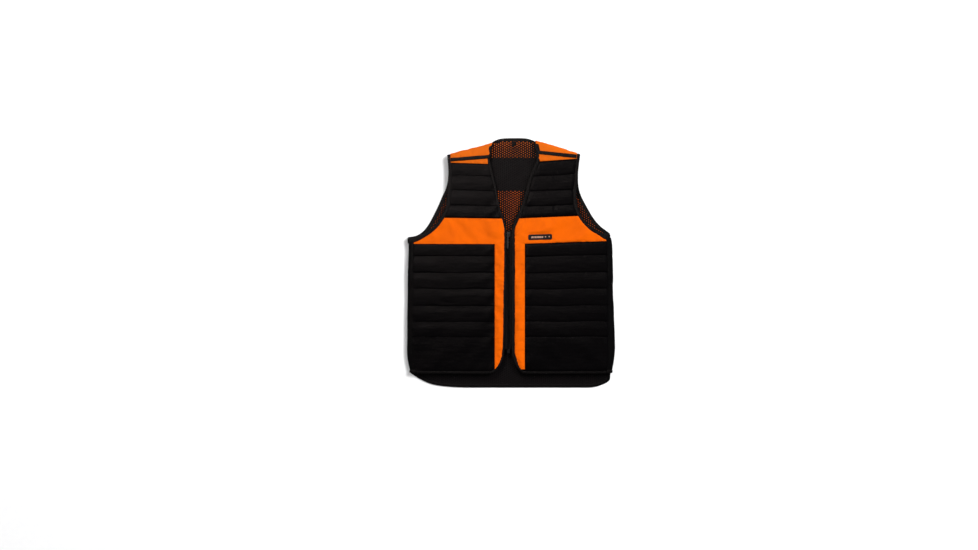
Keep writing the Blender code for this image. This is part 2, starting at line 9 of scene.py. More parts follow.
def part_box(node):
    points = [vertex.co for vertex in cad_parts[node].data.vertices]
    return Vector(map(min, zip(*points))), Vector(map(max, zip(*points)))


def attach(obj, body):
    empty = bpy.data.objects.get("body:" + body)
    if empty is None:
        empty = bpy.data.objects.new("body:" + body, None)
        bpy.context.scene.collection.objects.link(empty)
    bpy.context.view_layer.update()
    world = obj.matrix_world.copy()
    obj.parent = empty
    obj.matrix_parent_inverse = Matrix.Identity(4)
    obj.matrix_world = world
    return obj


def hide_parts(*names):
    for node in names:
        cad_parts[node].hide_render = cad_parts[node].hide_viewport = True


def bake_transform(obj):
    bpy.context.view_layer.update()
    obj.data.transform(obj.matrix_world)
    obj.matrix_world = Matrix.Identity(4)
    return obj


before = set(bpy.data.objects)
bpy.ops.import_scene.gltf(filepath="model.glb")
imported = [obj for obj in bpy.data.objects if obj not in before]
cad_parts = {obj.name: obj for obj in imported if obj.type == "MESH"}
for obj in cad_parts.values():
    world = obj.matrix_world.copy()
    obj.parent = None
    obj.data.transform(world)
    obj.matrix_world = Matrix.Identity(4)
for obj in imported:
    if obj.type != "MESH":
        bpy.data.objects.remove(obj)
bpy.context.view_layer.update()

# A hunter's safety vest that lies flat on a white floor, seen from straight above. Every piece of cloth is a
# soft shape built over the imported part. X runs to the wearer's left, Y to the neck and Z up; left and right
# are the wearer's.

MM = 0.001

# ---------------------------------------------------------------- measures, in metres

FRONT_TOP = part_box("left_front_strip")[1].z
FRONT_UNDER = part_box("left_front_wadding_flap")[0].z
LINING_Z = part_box("left_front_lining_flap")[0].z + 0.4 * MM
FRONT_EDGE_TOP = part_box("left_edge_binding")[1].z
FRONT_EDGE_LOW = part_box("left_front_lining_flap")[0].z
BACK_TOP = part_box("back_band")[1].z
BACK_LINING_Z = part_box("back_lining")[0].z + 0.5 * MM
BACK_EDGE_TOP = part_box("neck_binding")[1].z
EDGE_MID = (FRONT_EDGE_TOP + FRONT_EDGE_LOW) / 2
EDGE_HALF = (FRONT_EDGE_TOP - FRONT_EDGE_LOW) / 2 - 0.4 * MM
SLIM_HALF = EDGE_HALF - 0.3 * MM
BACK_MID = BACK_EDGE_TOP / 2
BACK_HALF = BACK_EDGE_TOP / 2

RIM_BINDING = 7.5 * MM
ARM_BINDING = 10.4 * MM
NECK_BINDING = 9 * MM
HEM_BINDING = 10 * MM
STRIPE = 7 * MM
GUSSET_DEEP = 15 * MM
UNDER_BINDING = 1.5 * MM
SEAM_TO_STITCH = 2.2 * MM
ZIP_X = (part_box("slider_body")[0].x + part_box("slider_body")[1].x) / 2

YOKE_SEAM = 0.306
BACK_BAND_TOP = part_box("back_band")[1].y
BACK_BAND_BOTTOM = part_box("back_band")[0].y
# the rows slope less and less down to here, and the long wrinkles of the lower panels start below it
LEVEL_BELOW = -0.15
BACK_HIGH = 0.3585
BACK_LOW = -0.3550
TAIL_STARTS = -0.28
HEM_Y = -0.3280
STRIP_LOW = -0.3150

# a tuck: how far its lip hangs over the next stretch of cloth, the drop behind it, the lip's roundness,
# how far the cloth takes to rise again, and how much each stretch is puffed up
LIP_REACH = 3.0 * MM
LIP_DROP = 2.1 * MM
LIP_ROUND = 0.9 * MM
RECOVER = 27 * MM
PUFF = 0.9 * MM
CHEST_TUCKS = [(0.2559, 0.45), (0.2132, 1.0), (0.1691, 1.0)]
LOWER_TUCKS = [
    (0.0206, 1.0), (-0.0279, 1.0), (-0.0750, 1.0), (-0.1250, 0.9), (-0.1720, 0.7), (-0.2176, 0.35),
]

SIDES = {
    "right": {
        "sign": -1,
        "rim_binding": 7.5 * MM,
        "arm_end_widens": 9.0 * MM,
        "arm_end_reach": 55 * MM,
        "rim": [
            (-0.0620, 0.2990), (-0.0510, 0.2520), (-0.0406, 0.2050), (-0.0318, 0.1600), (-0.0205, 0.1270),
            (-0.0150, 0.1050), (-0.0136, 0.0850), (-0.0140, 0.0000), (-0.0160, -0.1300), (-0.0190, -0.2600),
            (-0.0245, -0.2880), (-0.0350, -0.3090), (-0.0490, -0.3230), (-0.0680, -0.3280),
            (-0.1600, -0.3280), (-0.2400, -0.3275), (-0.2795, -0.3262),
        ],
        "front_arm": [
            (-0.1880, 0.3140), (-0.1845, 0.2800), (-0.1840, 0.2400), (-0.1860, 0.2000), (-0.1915, 0.1610),
            (-0.2072, 0.1278), (-0.2298, 0.1005), (-0.2540, 0.0830), (-0.2790, 0.0748), (-0.3000, 0.0725),
        ],
        "back_arm": [
            (-0.1885, 0.3140), (-0.1847, 0.2850), (-0.1850, 0.2500), (-0.1900, 0.2200), (-0.2006, 0.1959),
            (-0.2185, 0.1553), (-0.2409, 0.1126), (-0.2588, 0.0900), (-0.2794, 0.0770), (-0.3000, 0.0740),
        ],
        "outline": [
            (-0.3005, 0.0636), (-0.3030, -0.0300), (-0.3050, -0.1300), (-0.3059, -0.2200), (-0.3050, -0.2750),
            (-0.2955, -0.3260),
        ],
        "tail": [(-0.2925, -0.3315), (-0.2665, -0.3455), (-0.2335, -0.3595), (-0.1900, -0.3665)],
        "fold": [(-0.0603, 0.3485), (-0.1758, 0.3165)],
        "stripe": [(-0.0706, 0.3088), (-0.1755, 0.3000)],
        "chest_seam": [(-0.0706, 0.2876), (-0.1735, 0.2912)],
        "band_top": [(0.0, 0.1265), (-0.1959, 0.1294)],
        "band_bottom": [(0.0, 0.0526), (-0.2815, 0.0532)],
        "strip_edge": -0.0479,
        "crease": [(-0.0690, 0.2970), (-0.2529, -0.3280)],
        "neck": [
            (-0.0611, 0.2951, 19.0), (-0.0585, 0.3180, 19.0), (-0.0545, 0.3350, 18.4),
            (-0.0528, 0.3450, 13.0), (-0.0525, 0.3525, 5.0), (-0.0470, 0.3575, 2.3), (-0.0270, 0.3635, 2.05),
        ],
    },
    "left": {
        "sign": 1,
        "rim_binding": 11 * MM,
        "arm_end_widens": 10.0 * MM,
        "arm_end_reach": 35 * MM,
        "rim": [
            (0.0755, 0.2990), (0.0620, 0.2700), (0.0509, 0.2400), (0.0418, 0.2050), (0.0285, 0.1600),
            (0.0130, 0.1270), (0.0040, 0.1050), (0.0013, 0.0850), (0.0013, 0.0000), (0.0013, -0.1300),
            (0.0013, -0.2588), (0.0060, -0.2850), (0.0150, -0.3060), (0.0290, -0.3220), (0.0480, -0.3280),
            (0.1500, -0.3280), (0.2400, -0.3275), (0.2795, -0.3262),
        ],
        "front_arm": [
            (0.2035, 0.3165), (0.1985, 0.2800), (0.1950, 0.2400), (0.1918, 0.2088), (0.1935, 0.1700),
            (0.2060, 0.1370), (0.2235, 0.1140), (0.2440, 0.0960), (0.2660, 0.0860), (0.2875, 0.0820),
        ],
        "back_arm": [
            (0.2035, 0.3165), (0.1994, 0.2859), (0.1975, 0.2500), (0.1990, 0.2200), (0.2070, 0.1930),
            (0.2220, 0.1644), (0.2400, 0.1330), (0.2590, 0.1092), (0.2745, 0.0965), (0.2880, 0.0870),
        ],
        "outline": [
            (0.2935, 0.0716), (0.2972, 0.0450), (0.2992, -0.0300), (0.3010, -0.1100), (0.3059, -0.2200),
            (0.3040, -0.2750), (0.2955, -0.3260),
        ],
        "tail": [(0.2912, -0.3315), (0.2900, -0.3480), (0.2706, -0.3601), (0.2400, -0.3685)],
        "fold": [(0.0765, 0.3544), (0.1912, 0.3192)],
        "stripe": [(0.0835, 0.3220), (0.1908, 0.3100)],
        "chest_seam": [(0.0823, 0.2950), (0.1912, 0.3029)],
        "band_top": [(0.0, 0.1265), (0.2059, 0.1353)],
        "band_bottom": [(0.0, 0.0526), (0.2823, 0.0616)],
        "strip_edge": 0.0403,
        "crease": [(0.0845, 0.2970), (0.2529, -0.3280)],
        "neck": [
            (0.0738, 0.2954, 19.0), (0.0725, 0.3200, 19.0), (0.0690, 0.3400, 18.4),
            (0.0672, 0.3500, 13.0), (0.0665, 0.3560, 5.0), (0.0620, 0.3590, 2.3), (0.0430, 0.3640, 2.05),
        ],
    },
}
NECK_MIDDLE = (0.0080, 0.3647, 2.05)
TAIL_Y = -0.3693
TAIL_LINE = [
    *SIDES["right"]["tail"][1:], *((x, TAIL_Y) for x in (-0.13, -0.05, 0.05, 0.13, 0.19)),
    *SIDES["left"]["tail"][:0:-1],
]


# ---------------------------------------------------------------- lines

def curve(points, steps=6):
    """A smooth line through the points."""
    p = np.array(points, float)
    p = np.vstack([p[:1], p, p[-1:]])
    t = np.linspace(0, 1, steps, endpoint=False)[:, None]
    spans = [
        0.5 * (2 * b + (c - a) * t + (2 * a - 5 * b + 4 * c - d) * t**2 + (3 * b - a - 3 * c + d) * t**3)
        for a, b, c, d in zip(p, p[1:], p[2:], p[3:])
    ]
    return np.vstack(spans + [p[-1:]])


def run_of(line):
    """How far along the line each of its points is."""
    return np.concatenate([[0.0], np.cumsum(np.linalg.norm(np.diff(line, axis=0), axis=1))])


def even(line, step):
    """The line with points an even distance apart, near step."""
    run = run_of(line)
    at = np.linspace(0, run[-1], max(int(round(run[-1] / step)), 2) + 1)
    return np.column_stack([np.interp(at, run, line[:, k]) for k in range(line.shape[1])])


def along(line):
    """The line's direction at each of its points."""
    way = np.gradient(line, axis=0)
    return way / np.linalg.norm(way, axis=1, keepdims=True)


def shifted(line, distance):
    """The flat line moved sideways, to the left of its direction where distance is positive."""
    way = along(line)
    return line + distance * np.column_stack([-way[:, 1], way[:, 0]])


def falling(line):
    """x for a given y, from the part of the line before it stops going down."""
    keep = [0]
    for i in range(1, len(line)):
        if line[i, 1] < line[keep[-1], 1] - 1e-6:
            keep.append(i)
    ys, xs = line[keep, 1][::-1], line[keep, 0][::-1]
    return lambda y: np.interp(y, ys, xs)


def smooth(t):
    """A soft step from 0 to 1."""
    t = np.clip(t, 0.0, 1.0)
    return t * t * (3 - 2 * t)


def spread(long, step, close=(0.0, 0.5, 1.4, 2.8, 4.6)):
    """Shares of a length from 0 to 1, near step apart in the middle and closer together at both ends."""
    ends = [c * MM / long for c in close if c * MM < 0.3 * long]
    middle = np.linspace(ends[-1], 1 - ends[-1], max(int((1 - 2 * ends[-1]) * long / step), 1) + 1)
    return np.concatenate([ends[:-1], middle, [1 - e for e in ends[:-1][::-1]]])


def hills(points, scale, seed):
    """Smooth random heights from about -1 to 1; scale is hills in a metre."""
    return np.array([noise.noise(Vector((p[0] * scale, p[1] * scale, seed))) for p in points])


def on_plan(flat, z=0.0):
    """Flat points with a height."""
    return np.column_stack([flat[:, 0], flat[:, 1], np.broadcast_to(z, len(flat))])


def leftward(line):
    """The level direction to the left of a line, at each of its points."""
    way = along(line)
    return np.column_stack([-way[:, 1], way[:, 0], np.zeros(len(line))])


def swell(points):
    """The slow rise and fall of the whole front, with shorter ripples down both sides of the zip."""
    off = np.abs(points[:, 0] - ZIP_X)
    slow = 1.8 * MM * hills(points, 8.0, 3.7) * smooth((off - 0.03) / 0.06)
    leaning = np.column_stack([points[:, 0] * 0.6, points[:, 1] - 0.7 * (points[:, 0] - ZIP_X)])
    beside_zip = smooth((off - 0.010) / 0.012) * smooth((0.085 - off) / 0.045)
    return slow + 3.4 * MM * hills(leaning, 34.0, 9.2) * beside_zip


# ---------------------------------------------------------------- meshes

def quads_of(rows, columns, first=0):
    """The faces of a grid of points whose first point has the given number."""
    i = np.arange(rows - 1)[:, None] * columns + np.arange(columns - 1)[None, :] + first
    return np.stack([i, i + columns, i + columns + 1, i + 1], -1).reshape(-1, 4)


def open_edges(quads):
    """The directed edges that belong to one face only."""
    pairs = np.concatenate([np.stack([quads[:, k], quads[:, (k + 1) % 4]], 1) for k in range(4)])
    known = set(map(tuple, pairs.tolist()))
    return [(a, b) for a, b in pairs.tolist() if (b, a) not in known]


def edge_distance(points, edges):
    """How far each point is, seen from above, from the nearest of the edges."""
    p = points[:, :2]
    nearest = np.full(len(p), 1e9)
    for a, b in edges:
        start, span = p[a], p[b] - p[a]
        size = max(float(span @ span), 1e-12)
        t = np.clip((p - start) @ span / size, 0, 1)
        nearest = np.minimum(nearest, np.linalg.norm(p - start - t[:, None] * span, axis=1))
    return nearest


def make(name, verts, faces, uv, material, body=None):
    """A smooth mesh whose cloth map gives its weave; uv has a place for each vertex."""
    mesh = bpy.data.meshes.new(name)
    mesh.from_pydata(np.asarray(verts).tolist(), [], [tuple(f) for f in faces])
    index = np.zeros(len(mesh.loops), int)
    mesh.loops.foreach_get("vertex_index", index)
    layer = mesh.uv_layers.new(name="cloth")
    layer.data.foreach_set("uv", np.asarray(uv, float)[index].ravel())
    mesh.polygons.foreach_set("use_smooth", [True] * len(mesh.polygons))
    shape = bmesh.new()
    shape.from_mesh(mesh)
    bmesh.ops.recalc_face_normals(shape, faces=shape.faces)
    shape.to_mesh(mesh)
    shape.free()
    mesh.materials.append(material)
    made = bpy.data.objects.new(name, mesh)
    bpy.context.scene.collection.objects.link(made)
    if body:
        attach(made, body)
    return made


def shell(name, top, bottom, quads, uv, material, body=None, cut=False):
    """A closed piece between two layers of points; cut keeps its edges sharp, to meet another piece."""
    n = len(top)
    faces = quads.tolist() + (quads[:, ::-1] + n).tolist()
    faces += [(b, a, a + n, b + n) for a, b in open_edges(quads)]
    made = make(name, np.vstack([top, bottom]), faces, np.vstack([uv, uv]), material, body)
    if cut:
        made.data.set_sharp_from_angle(angle=math.radians(60))
    return made


def frames_of(path, inward, turn):
    """The directions along the path, into the cloth and out of its outer side, at each point."""
    way = along(path)
    into = inward - np.sum(inward * way, 1, keepdims=True) * way
    into /= np.linalg.norm(into, axis=1, keepdims=True)
    return way, into, turn * np.cross(way, into)


def unsteady(run, scale, seed, lane):
    """A smooth random value along a line; scale is its swings in a metre."""
    return np.array([noise.noise(Vector((r * scale, seed, lane))) for r in run])


def folded_tape(name, path, inward, half, width, material, turn=1, closed=False, seed=0.0, groove=2.0 * MM):
    """A tape folded over an edge: path is the edge, inward points into the cloth, half is half its height."""
    way, into, up = frames_of(path, inward, turn)
    angles = np.linspace(0, 2 * math.pi, 18, endpoint=False)
    c, s = np.cos(angles), np.sin(angles)
    across = 0.5 - 0.5 * np.sign(c) * np.abs(c) ** 0.55
    height = np.sign(s) * np.abs(s) ** 0.62
    run = run_of(path)
    wide = np.broadcast_to(width, len(path)) * (1 + 0.05 * unsteady(run, 45, seed, 0.3))
    thick = half * (1 + 0.07 * unsteady(run, 70, seed, 8.1))
    a = wide[:, None] * across[None, :]
    dip = 1 - 0.16 * np.exp(-(((wide[:, None] - a) - groove) / (0.8 * MM)) ** 2)
    b = thick[:, None] * height[None, :] * dip
    rings = path[:, None] + a[..., None] * into[:, None] + b[..., None] * up[:, None]
    rings[..., 2] = np.maximum(rings[..., 2], 0.0)
    rows, k = rings.shape[:2]
    faces = []
    for i in range(rows if closed else rows - 1):
        j = (i + 1) % rows
        faces += [(i * k + m, i * k + (m + 1) % k, j * k + (m + 1) % k, j * k + m) for m in range(k)]
    if not closed:
        faces += [tuple(range(k)), tuple(range((rows - 1) * k, rows * k))[::-1]]
    uv = np.stack(np.broadcast_arrays(run[:, None], a + b), -1).reshape(-1, 2)
    return make(name, rings.reshape(-1, 3), faces, uv, material), way, into, up


def stitches(name, line, way, up, material, pitch=3.3 * MM, long=2.2 * MM, thick=0.32 * MM):
    """A row of stitches on the line; up points away from the cloth."""
    run = run_of(line)
    at = np.arange(pitch / 2, run[-1], pitch)
    place, w, u = (
        np.column_stack([np.interp(at, run, v[:, k]) for k in range(3)]) for v in (line, way, up)
    )
    w /= np.linalg.norm(w, axis=1, keepdims=True)
    u /= np.linalg.norm(u, axis=1, keepdims=True)
    side = np.cross(w, u)
    place[:, 2] = np.maximum(place[:, 2], thick)
    verts, faces = [], []
    for n in range(len(at)):
        first = len(verts)
        verts.append(place[n] - w[n] * long / 2 - u[n] * thick * 0.5)
        for share in (-0.28, 0.28):
            for turn in range(4):
                angle = math.pi / 2 * turn
                verts.append(
                    place[n] + w[n] * long * share
                    + (u[n] * math.cos(angle) + side[n] * math.sin(angle) * 1.2) * thick
                )
        verts.append(place[n] + w[n] * long / 2 - u[n] * thick * 0.5)
        for m in range(4):
            m2 = (m + 1) % 4
            faces.append((first, first + 1 + m, first + 1 + m2))
            faces.append((first + 1 + m, first + 5 + m, first + 5 + m2, first + 1 + m2))
            faces.append((first + 9, first + 5 + m2, first + 5 + m))
    uv = np.array(verts)[:, :2]
    return make(name, verts, faces, uv, material)


def softened(name, node, width, material, body, segments=2):
    """A copy of a CAD node with its edges rounded, which replaces it."""
    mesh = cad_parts[node].data.copy()
    mesh.name = name
    shape = bmesh.new()
    shape.from_mesh(mesh)
    bmesh.ops.remove_doubles(shape, verts=shape.verts, dist=1e-6)
    bmesh.ops.dissolve_limit(shape, angle_limit=math.radians(1), verts=shape.verts, edges=shape.edges)
    sharp = [e for e in shape.edges if e.is_manifold and e.calc_face_angle(0.0) > math.radians(25)]
    bmesh.ops.bevel(
        shape, geom=sharp, offset=width, segments=segments, profile=0.5, affect="EDGES", clamp_overlap=True
    )
    bmesh.ops.recalc_face_normals(shape, faces=shape.faces)
    shape.to_mesh(mesh)
    shape.free()
    mesh.materials.clear()
    mesh.materials.append(material)
    made = bpy.data.objects.new(name, mesh)
    bpy.context.scene.collection.objects.link(made)
    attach(made, body)
    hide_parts(node)
    return made


# ---------------------------------------------------------------- materials

class Net:
    """A material's nodes."""

    def __init__(self, name):
        self.material = bpy.data.materials.new(name)
        self.material.use_nodes = True
        self.nodes = self.material.node_tree.nodes
        self.links = self.material.node_tree.links
        self.shader = self.nodes["Principled BSDF"]

    def put(self, value, socket):
        if isinstance(value, bpy.types.NodeSocket):
            self.links.new(value, socket)
        else:
            socket.default_value = value

    def math(self, operation, *values):
        node = self.nodes.new("ShaderNodeMath")
        node.operation = operation
        for value, socket in zip(values, node.inputs):
            self.put(value, socket)
        return node.outputs[0]

    def mix(self, share, first, second):
        node = self.nodes.new("ShaderNodeMix")
        node.data_type = "RGBA"
        self.put(share, node.inputs[0])
        self.put(first, node.inputs[6])
        self.put(second, node.inputs[7])
        return node.outputs[2]

    def cloth_uv(self):
        uv = self.nodes.new("ShaderNodeUVMap")
        uv.uv_map = "cloth"
        parts = self.nodes.new("ShaderNodeSeparateXYZ")
        self.links.new(uv.outputs[0], parts.inputs[0])
        return parts.outputs[0], parts.outputs[1]

    def noise(self, scale, detail=2.0, roughness=0.5):
        place = self.nodes.new("ShaderNodeTexCoord")
        node = self.nodes.new("ShaderNodeTexNoise")
        node.inputs["Scale"].default_value = scale
        node.inputs["Detail"].default_value = detail
        node.inputs["Roughness"].default_value = roughness
        self.links.new(place.outputs["Object"], node.inputs["Vector"])
        return node.outputs[0]

    def wave(self, coordinate, period):
        return self.math("SINE", self.math("MULTIPLY", coordinate, 2 * math.pi / period))

    def span(self, value, low, high, to_low=0.0, to_high=1.0):
        node = self.nodes.new("ShaderNodeMapRange")
        for given, socket in zip((value, low, high, to_low, to_high), node.inputs):
            self.put(given, socket)
        return node.outputs[0]

    def bump(self, height, distance, strength=1.0):
        node = self.nodes.new("ShaderNodeBump")
        node.inputs["Distance"].default_value = distance
        node.inputs["Strength"].default_value = strength
        self.links.new(height, node.inputs["Height"])
        self.links.new(node.outputs[0], self.shader.inputs["Normal"])

    def set(self, **values):
        for name, value in values.items():
            self.shader.inputs[name.replace("_", " ")].default_value = value


def woven(name, light, dark, period, relief, rough, specular, sheen=0.0, sheen_tint=(1, 1, 1), patchy=0.5):
    """A plain weave, with slow variation in colour and roughness, and painted shade darkening the weave's
    valleys.
    """
    net = Net(name)
    u, v = net.cloth_uv()
    weave = net.math("MULTIPLY", net.wave(u, period), net.wave(v, period))
    slub = net.noise(900.0, 1.0)
    drift = net.span(net.noise(14.0, 4.0, 0.6), 0.3, 0.7)
    # painted shade: the colour darkens where the weave's height is low, mixed with random tone from the slow
    # noise
    tone_and_valley_shade = net.math("ADD", net.math("MULTIPLY", drift, patchy), net.span(weave, -1, 1, 0, 1 - patchy))
    net.put(net.mix(tone_and_valley_shade, (*dark, 1), (*light, 1)), net.shader.inputs["Base Color"])
    net.put(net.span(drift, 0, 1, rough - 0.06, rough + 0.06), net.shader.inputs["Roughness"])
    net.set(Specular_IOR_Level=specular, Sheen_Weight=sheen, Sheen_Roughness=0.5, Sheen_Tint=(*sheen_tint, 1))
    net.bump(net.math("ADD", weave, net.math("MULTIPLY", slub, 1.5)), relief)
    return net.material


def ribbed(name, light, dark, period, relief, rough, specular, sheen=0.0):
    """A binding tape with ribs across it, with painted shade darkening the valleys between the ribs."""
    net = Net(name)
    u, v = net.cloth_uv()
    ribs = net.math("ADD", net.wave(u, period), net.math("MULTIPLY", net.wave(v, period * 0.7), 0.5))
    drift = net.span(net.noise(40.0, 3.0), 0.3, 0.7)
    # painted shade: the colour darkens in the valleys between the ribs, mixed with random tone from the noise
    tone_and_valley_shade = net.math("MULTIPLY", net.math("ADD", net.span(ribs, -1.5, 1.5), drift), 0.5)
    net.put(net.mix(tone_and_valley_shade, (*dark, 1), (*light, 1)), net.shader.inputs["Base Color"])
    net.put(net.span(drift, 0, 1, rough - 0.05, rough + 0.05), net.shader.inputs["Roughness"])
    net.set(Specular_IOR_Level=specular, Sheen_Weight=sheen, Sheen_Roughness=0.4)
    net.bump(ribs, relief)
    return net.material


def netting(name, light, dark, pitch, opening):
    """A knitted mesh with rows of open holes, which close up where the piece's painted-shade value is above
    zero; closing them darkens the mesh as painted shade.
    """
    net = Net(name)
    # painted shade: a per-point value closes the holes, darkening the mesh where shade falls
    armhole_shade = net.nodes.new("ShaderNodeAttribute")
    armhole_shade.attribute_name = "armhole_shade"
    opening = net.math("ADD", opening, net.math("MULTIPLY", armhole_shade.outputs["Fac"], 0.9))
    u, v = net.cloth_uv()
    total = net.math("COSINE", net.math("MULTIPLY", u, 2 * math.pi / pitch))
    for lean in (1, -1):
        upward = net.math("MULTIPLY", v, lean * math.sqrt(0.75))
        slanted = net.math("ADD", net.math("MULTIPLY", u, 0.5), upward)
        wave = net.math("COSINE", net.math("MULTIPLY", slanted, 2 * math.pi / pitch))
        total = net.math("ADD", total, wave)
    cover = net.span(net.math("SUBTRACT", total, opening), -0.15, 0.15, 1.0, 0.0)
    knit = net.math("MULTIPLY", net.wave(u, pitch / 6), net.wave(v, pitch / 6))
    drift = net.span(net.noise(30.0, 3.0), 0.3, 0.7)
    net.put(net.mix(drift, (*dark, 1), (*light, 1)), net.shader.inputs["Base Color"])
    net.put(cover, net.shader.inputs["Alpha"])
    net.put(net.span(drift, 0, 1, 0.75, 0.9), net.shader.inputs["Roughness"])
    net.set(Specular_IOR_Level=0.03, Sheen_Weight=0.0, Sheen_Roughness=0.5)
    net.bump(net.math("SUBTRACT", net.math("MULTIPLY", knit, 0.2), total), 0.25 * MM)
    return net.material


def moulded(name, light, dark, rough, specular, metal=0.0, coat=0.0, grain=0.03 * MM):
    """Moulded plastic or enamelled metal, with fine scratches and wear."""
    net = Net(name)
    worn = net.noise(220.0, 5.0, 0.65)
    net.put(net.mix(net.span(worn, 0.35, 0.7), (*dark, 1), (*light, 1)), net.shader.inputs["Base Color"])
    net.put(net.span(worn, 0.3, 0.7, rough - 0.1, rough + 0.12), net.shader.inputs["Roughness"])
    net.set(Specular_IOR_Level=specular, Metallic=metal, Coat_Weight=coat, Coat_Roughness=0.3)
    net.bump(net.noise(1500.0, 3.0), grain)
    return net.material


def floor_material():
    net = Net("floor")
    speck = net.noise(60.0, 4.0)
    net.put(
        net.mix(net.span(speck, 0.3, 0.7), (0.93, 0.93, 0.935, 1), (0.95, 0.95, 0.95, 1)),
        net.shader.inputs["Base Color"],
    )
    net.put(net.span(speck, 0, 1, 0.85, 0.95), net.shader.inputs["Roughness"])
    net.set(Specular_IOR_Level=0.05)
    return net.material


ORANGE = woven(
    "blaze_orange_cloth", (0.71, 0.107, 0.0008), (0.62, 0.090, 0.0007), 0.9 * MM, 0.05 * MM, 0.85, 0.015,
    sheen=0.004, sheen_tint=(1.0, 0.6, 0.2), patchy=0.7,
)
# the shoulders' and yoke's orange is a darker, paler copy of the orange cloth: painted shade where the cloth
# curves away from the light, and a painted sheen in its raised green and blue
SHADED_YOKE_ORANGE = woven(
    "shoulder_orange_painted_shade", (0.61, 0.112, 0.0045), (0.51, 0.090, 0.0030), 0.9 * MM, 0.05 * MM, 0.85, 0.02,
    sheen=0.015, sheen_tint=(1.0, 0.7, 0.4), patchy=0.7,
)
BLACK = woven(
    "black_quilted_cloth", (0.0011, 0.0008, 0.0010), (0.0006, 0.0005, 0.0007), 1.0 * MM, 0.06 * MM, 0.46,
    0.0100, sheen=0.001, sheen_tint=(1.0, 0.95, 0.97), patchy=0.6,
)
GUSSET = woven(
    "black_side_cloth", (0.0014, 0.0011, 0.0012), (0.0007, 0.0007, 0.0009), 1.2 * MM, 0.07 * MM, 0.50, 0.014,
    sheen=0.001, patchy=0.6,
)
LABEL_BLACK = woven(
    "label_satin", (0.0045, 0.0030, 0.0030), (0.0022, 0.0016, 0.0016), 0.6 * MM, 0.03 * MM, 0.5, 0.05,
)
TAPE = ribbed(
    "black_binding_tape", (0.0018, 0.0013, 0.0013), (0.0008, 0.0007, 0.0008), 1.2 * MM, 0.10 * MM, 0.55,
    0.026, sheen=0.001,
)
ZIP_TAPE = ribbed(
    "zip_tape_cloth", (0.0034, 0.0020, 0.0020), (0.0016, 0.0011, 0.0011), 0.8 * MM, 0.08 * MM, 0.65, 0.03,
)
BLACK_THREAD = ribbed(
    "black_thread", (0.0050, 0.0045, 0.0050), (0.0025, 0.0025, 0.0025), 0.5 * MM, 0.05 * MM, 0.5, 0.05,
)
ORANGE_THREAD = ribbed(
    "orange_thread", (0.74, 0.13, 0.004), (0.52, 0.075, 0.0015), 0.5 * MM, 0.05 * MM, 0.6, 0.1,
)
PALE_THREAD = ribbed("pale_thread", (0.46, 0.26, 0.19), (0.32, 0.17, 0.12), 0.5 * MM, 0.06 * MM, 0.6, 0.1)
NETTING = netting("black_mesh_lining", (0.0036, 0.0026, 0.0029), (0.0022, 0.0019, 0.0021), 6.0 * MM, 1.30)
ZIP_PLASTIC = moulded("zip_plastic", (0.004, 0.0038, 0.004), (0.002, 0.002, 0.002), 0.42, 0.05)
ZIP_METAL = moulded(
    "zip_enamel", (0.0085, 0.0075, 0.0078), (0.004, 0.0036, 0.0038), 0.36, 0.12, metal=0.2, coat=0.02,
)


# ---------------------------------------------------------------- cloth that is simulated, all at once

SIM_SCALE = 10.0
SIM_FRAMES = 22
waiting = []


def lay(name, points, quads, pins, grow, push, ripple, finish, stiff=1.0):
    """Queues a piece for the simulation. finish is called with how far each point moves."""
    waiting.append({
        "name": name, "points": points, "quads": quads, "pins": pins, "grow": grow, "push": push,
        "ripple": ripple, "finish": finish, "stiff": stiff,
    })


def simulate():
    """Lets every queued cloth, cut a little larger than its seams, settle between its sewn points."""
    scene = bpy.context.scene
    scene.use_gravity = False
    cloths = []
    for piece in waiting:
        mesh = bpy.data.meshes.new("flat")
        start = piece["points"] + piece["ripple"] * (1 - piece["pins"])[:, None]
        mesh.from_pydata((start * SIM_SCALE).tolist(), [], piece["quads"].tolist())
        cloth = bpy.data.objects.new("flat_" + piece["name"], mesh)
        scene.collection.objects.link(cloth)
        group = cloth.vertex_groups.new(name="sewn")
        for weight in np.unique(np.round(piece["pins"], 2)):
            if weight > 0:
                chosen = np.nonzero(np.abs(piece["pins"] - weight) < 0.006)[0]
                group.add(chosen.tolist(), float(weight), "REPLACE")
        settings = cloth.modifiers.new("settle", "CLOTH").settings
        settings.quality = 5
        settings.mass = 0.15
        settings.air_damping = 4.0
        settings.tension_stiffness = 12.0 * piece["stiff"]
        settings.compression_stiffness = 12.0 * piece["stiff"]
        settings.shear_stiffness = 6.0 * piece["stiff"]
        settings.bending_stiffness = 0.6 * piece["stiff"]
        settings.vertex_group_mass = "sewn"
        settings.shrink_min = -piece["grow"]
        settings.use_pressure = True
        settings.uniform_pressure_force = piece["push"]
        cloth.modifiers["settle"].collision_settings.use_collision = False
        cloth.modifiers["settle"].point_cache.frame_end = SIM_FRAMES
        cloths.append(cloth)
    for number in range(1, SIM_FRAMES + 1):
        scene.frame_set(number)
    graph = bpy.context.evaluated_depsgraph_get()
    for piece, cloth in zip(waiting, cloths):
        moved = np.zeros(len(piece["points"]) * 3, np.float32)
        cloth.evaluated_get(graph).data.vertices.foreach_get("co", moved)
        piece["move"] = moved.reshape(-1, 3).astype(float) / SIM_SCALE - piece["points"]
    for cloth in cloths:
        mesh = cloth.data
        bpy.data.objects.remove(cloth, do_unlink=True)
        bpy.data.meshes.remove(mesh)
    scene.frame_set(1)


def settle_all():
    """Settles the queued cloths and finishes each piece."""
    simulate()
    for piece in waiting:
        piece["finish"](piece["move"])


